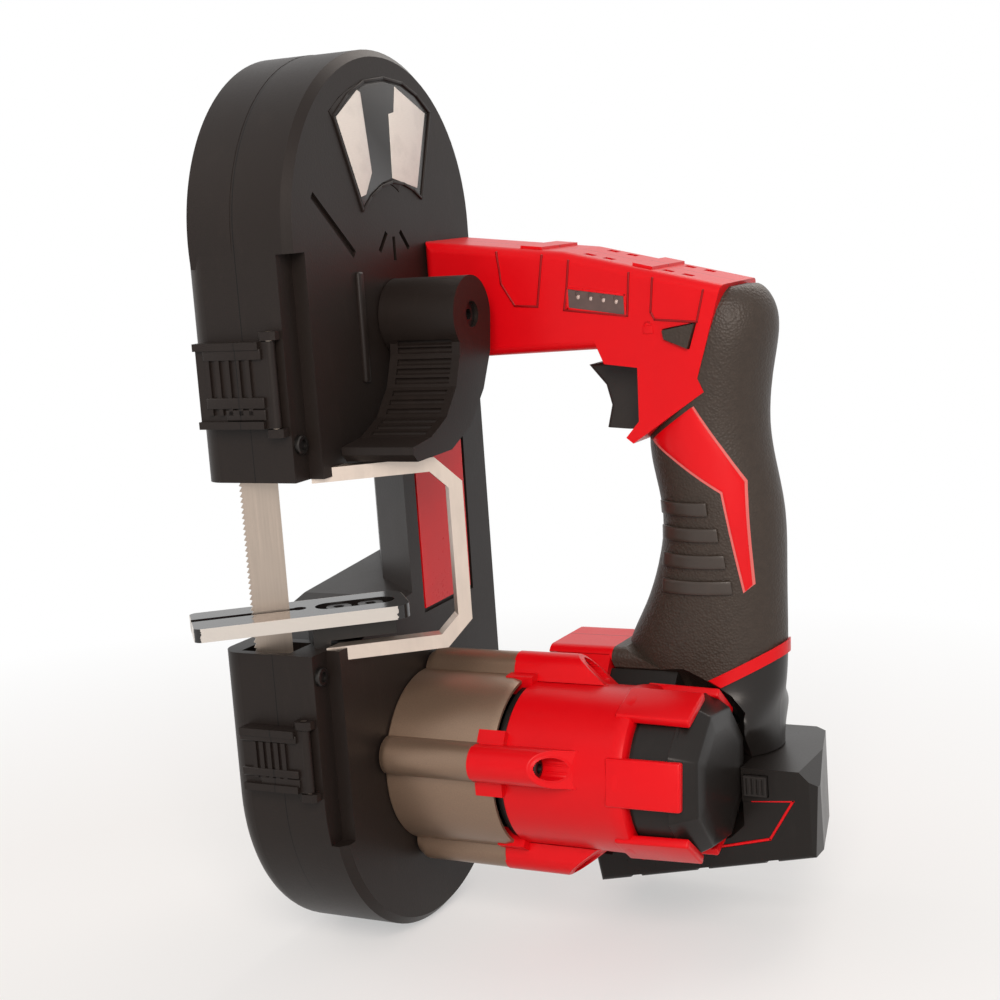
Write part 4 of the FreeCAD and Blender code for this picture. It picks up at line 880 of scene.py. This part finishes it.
class SAW_OT_stage(bpy.types.Operator):
    """Lay the floor, hang the lamps and stand the camera"""
    bl_idname = "saw.stage"
    bl_label = "Set the Studio"

    def execute(self, context):
        setup = context.scene.saw_studio
        scene = context.scene
        scene.view_settings.view_transform = "Standard"
        world = bpy.data.worlds.new("studio air")
        scene.world = world
        world.use_nodes = True
        world.node_tree.nodes["Background"].inputs["Color"].default_value = (1, 1, 1, 1)
        self.white_air(world)
        self.floor()
        self.lamp("key light", (0.6, -0.98, 0.66), (0.07, 0.05, 0.03), 0.7, 15)
        self.lamp("rim light", (-0.95, -0.1, 0.45), (0.0, 0.04, 0.03), 0.7, 3)
        self.lamp("back light", (0.25, 1.0, 0.95), (0.05, 0.05, 0.05), 0.9, 7)
        self.camera(scene, setup)
        return {"FINISHED"}

    def white_air(self, world):
        """White where the camera or a shiny surface sees the air, a plain level where it lights the saw."""
        tree = world.node_tree
        path = tree.nodes.new("ShaderNodeLightPath")
        seen = tree.nodes.new("ShaderNodeMath")
        seen.operation = "MAXIMUM"
        tree.links.new(path.outputs["Is Camera Ray"], seen.inputs[0])
        shiny = tree.nodes.new("ShaderNodeMath")
        shiny.operation = "MAXIMUM"
        tree.links.new(path.outputs["Is Glossy Ray"], shiny.inputs[0])
        tree.links.new(path.outputs["Is Transmission Ray"], shiny.inputs[1])
        tree.links.new(shiny.outputs[0], seen.inputs[1])
        level = tree.nodes.new("ShaderNodeMapRange")
        level.inputs["To Min"].default_value = 0.34
        level.inputs["To Max"].default_value = 1.0
        tree.links.new(seen.outputs[0], level.inputs["Value"])
        tree.links.new(level.outputs["Result"], tree.nodes["Background"].inputs["Strength"])

    def floor(self):
        """A pale floor that takes the saw's shadow and fades into the white round it."""
        shape = bmesh.new()
        bmesh.ops.create_grid(shape, x_segments=1, y_segments=1, size=6.0)
        bmesh.ops.translate(shape, verts=shape.verts, vec=(0, 0, FLOOR_HEIGHT))
        mesh = bpy.data.meshes.new("floor")
        shape.to_mesh(mesh)
        shape.free()
        floor = bpy.data.objects.new("floor", mesh)
        bpy.context.scene.collection.objects.link(floor)
        mesh.materials.append(self.floor_finish())

    def floor_finish(self):
        f = Finish("pale floor")
        cloud = f.noise(3, 2)
        pale = f.blend(cloud, (0.80, 0.80, 0.80, 1), (0.84, 0.84, 0.84, 1))
        matte = f.set(colour=pale, rough=0.7 + cloud * 0.1, specular=0.1)
        tree = f.tree
        reach = f.node("ShaderNodeVectorMath", {"operation": "LENGTH"}, {0: f.place}, "Value")
        far = f.node("ShaderNodeMapRange", {}, {"Value": reach, "From Min": 0.22, "From Max": 0.55})
        path = tree.nodes.new("ShaderNodeLightPath")
        seen = Flow(f, path.outputs["Is Camera Ray"]) + Flow(f, path.outputs["Is Glossy Ray"])
        glow = tree.nodes.new("ShaderNodeEmission")
        lit = tree.nodes.new("ShaderNodeMixShader")
        white = 0.45 + far * 0.55
        tree.links.new((white * seen).socket, lit.inputs[0])
        tree.links.new(f.shader.outputs[0], lit.inputs[1])
        tree.links.new(glow.outputs[0], lit.inputs[2])
        tree.links.new(lit.outputs[0], tree.nodes["Material Output"].inputs[0])
        return matte

    def lamp(self, name, place, aim, size, power):
        light = bpy.data.lights.new(name, "AREA")
        light.size = size
        light.energy = power
        light.color = LAMP_COLOUR
        lamp = bpy.data.objects.new(name, light)
        lamp.location = place
        lamp.rotation_euler = (Vector(aim) - Vector(place)).to_track_quat("-Z", "Y").to_euler()
        bpy.context.scene.collection.objects.link(lamp)

    def camera(self, scene, setup):
        """The photograph's viewpoint, as turn, height angle, lean and distance about the loop's centre."""
        a, e, r = setup.azimuth, setup.elevation, setup.roll
        back = Vector((math.sin(a) * math.cos(e), -math.cos(a) * math.cos(e), math.sin(e)))
        level_right = Vector((math.cos(a), math.sin(a), 0))
        level_up = back.cross(level_right)
        right = math.cos(r) * level_right + math.sin(r) * level_up
        up = -math.sin(r) * level_right + math.cos(r) * level_up
        spot = LOOP_CENTRE + right * setup.side_step + up * setup.up_step + back * setup.distance
        lens = bpy.data.cameras.new("photo camera")
        lens.lens = setup.lens
        lens.sensor_width = 36.0
        lens.clip_start = 0.02
        eye = bpy.data.objects.new("photo camera", lens)
        turn = Matrix((right, up, back)).transposed().to_4x4()
        eye.matrix_world = Matrix.Translation(spot) @ turn
        scene.collection.objects.link(eye)
        scene.camera = eye


class SAW_PT_sidebar(bpy.types.Panel):
    """The saw's pieces, in the order they are made"""
    bl_idname = "SAW_PT_sidebar"
    bl_label = "Band Saw"
    bl_space_type = "VIEW_3D"
    bl_region_type = "UI"
    bl_category = "Band Saw"

    def draw(self, context):
        for maker in MAKERS:
            self.layout.operator(maker.bl_idname)


MAKERS = (SAW_OT_finish_solids, SAW_OT_motor, SAW_OT_screws, SAW_OT_loop_trim, SAW_OT_labels, SAW_OT_gauge,
          SAW_OT_lock_mark, SAW_OT_arm_beads, SAW_OT_arm_vents, SAW_OT_grip_inlay, SAW_OT_battery_trim,
          SAW_OT_stage)
CLASSES = (SawLooks, StudioSetup) + MAKERS + (SAW_PT_sidebar,)


def register():
    for cls in CLASSES:
        bpy.utils.register_class(cls)
    bpy.types.Scene.saw_looks = bpy.props.PointerProperty(type=SawLooks)
    bpy.types.Scene.saw_studio = bpy.props.PointerProperty(type=StudioSetup)


def unregister():
    del bpy.types.Scene.saw_studio
    del bpy.types.Scene.saw_looks
    for cls in reversed(CLASSES):
        bpy.utils.unregister_class(cls)


def main():
    """Registers the add-on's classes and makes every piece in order."""
    register()
    for maker in MAKERS:
        group, name = maker.bl_idname.split(".")
        getattr(getattr(bpy.ops, group), name)()


if __name__ == "__main__":
    main()
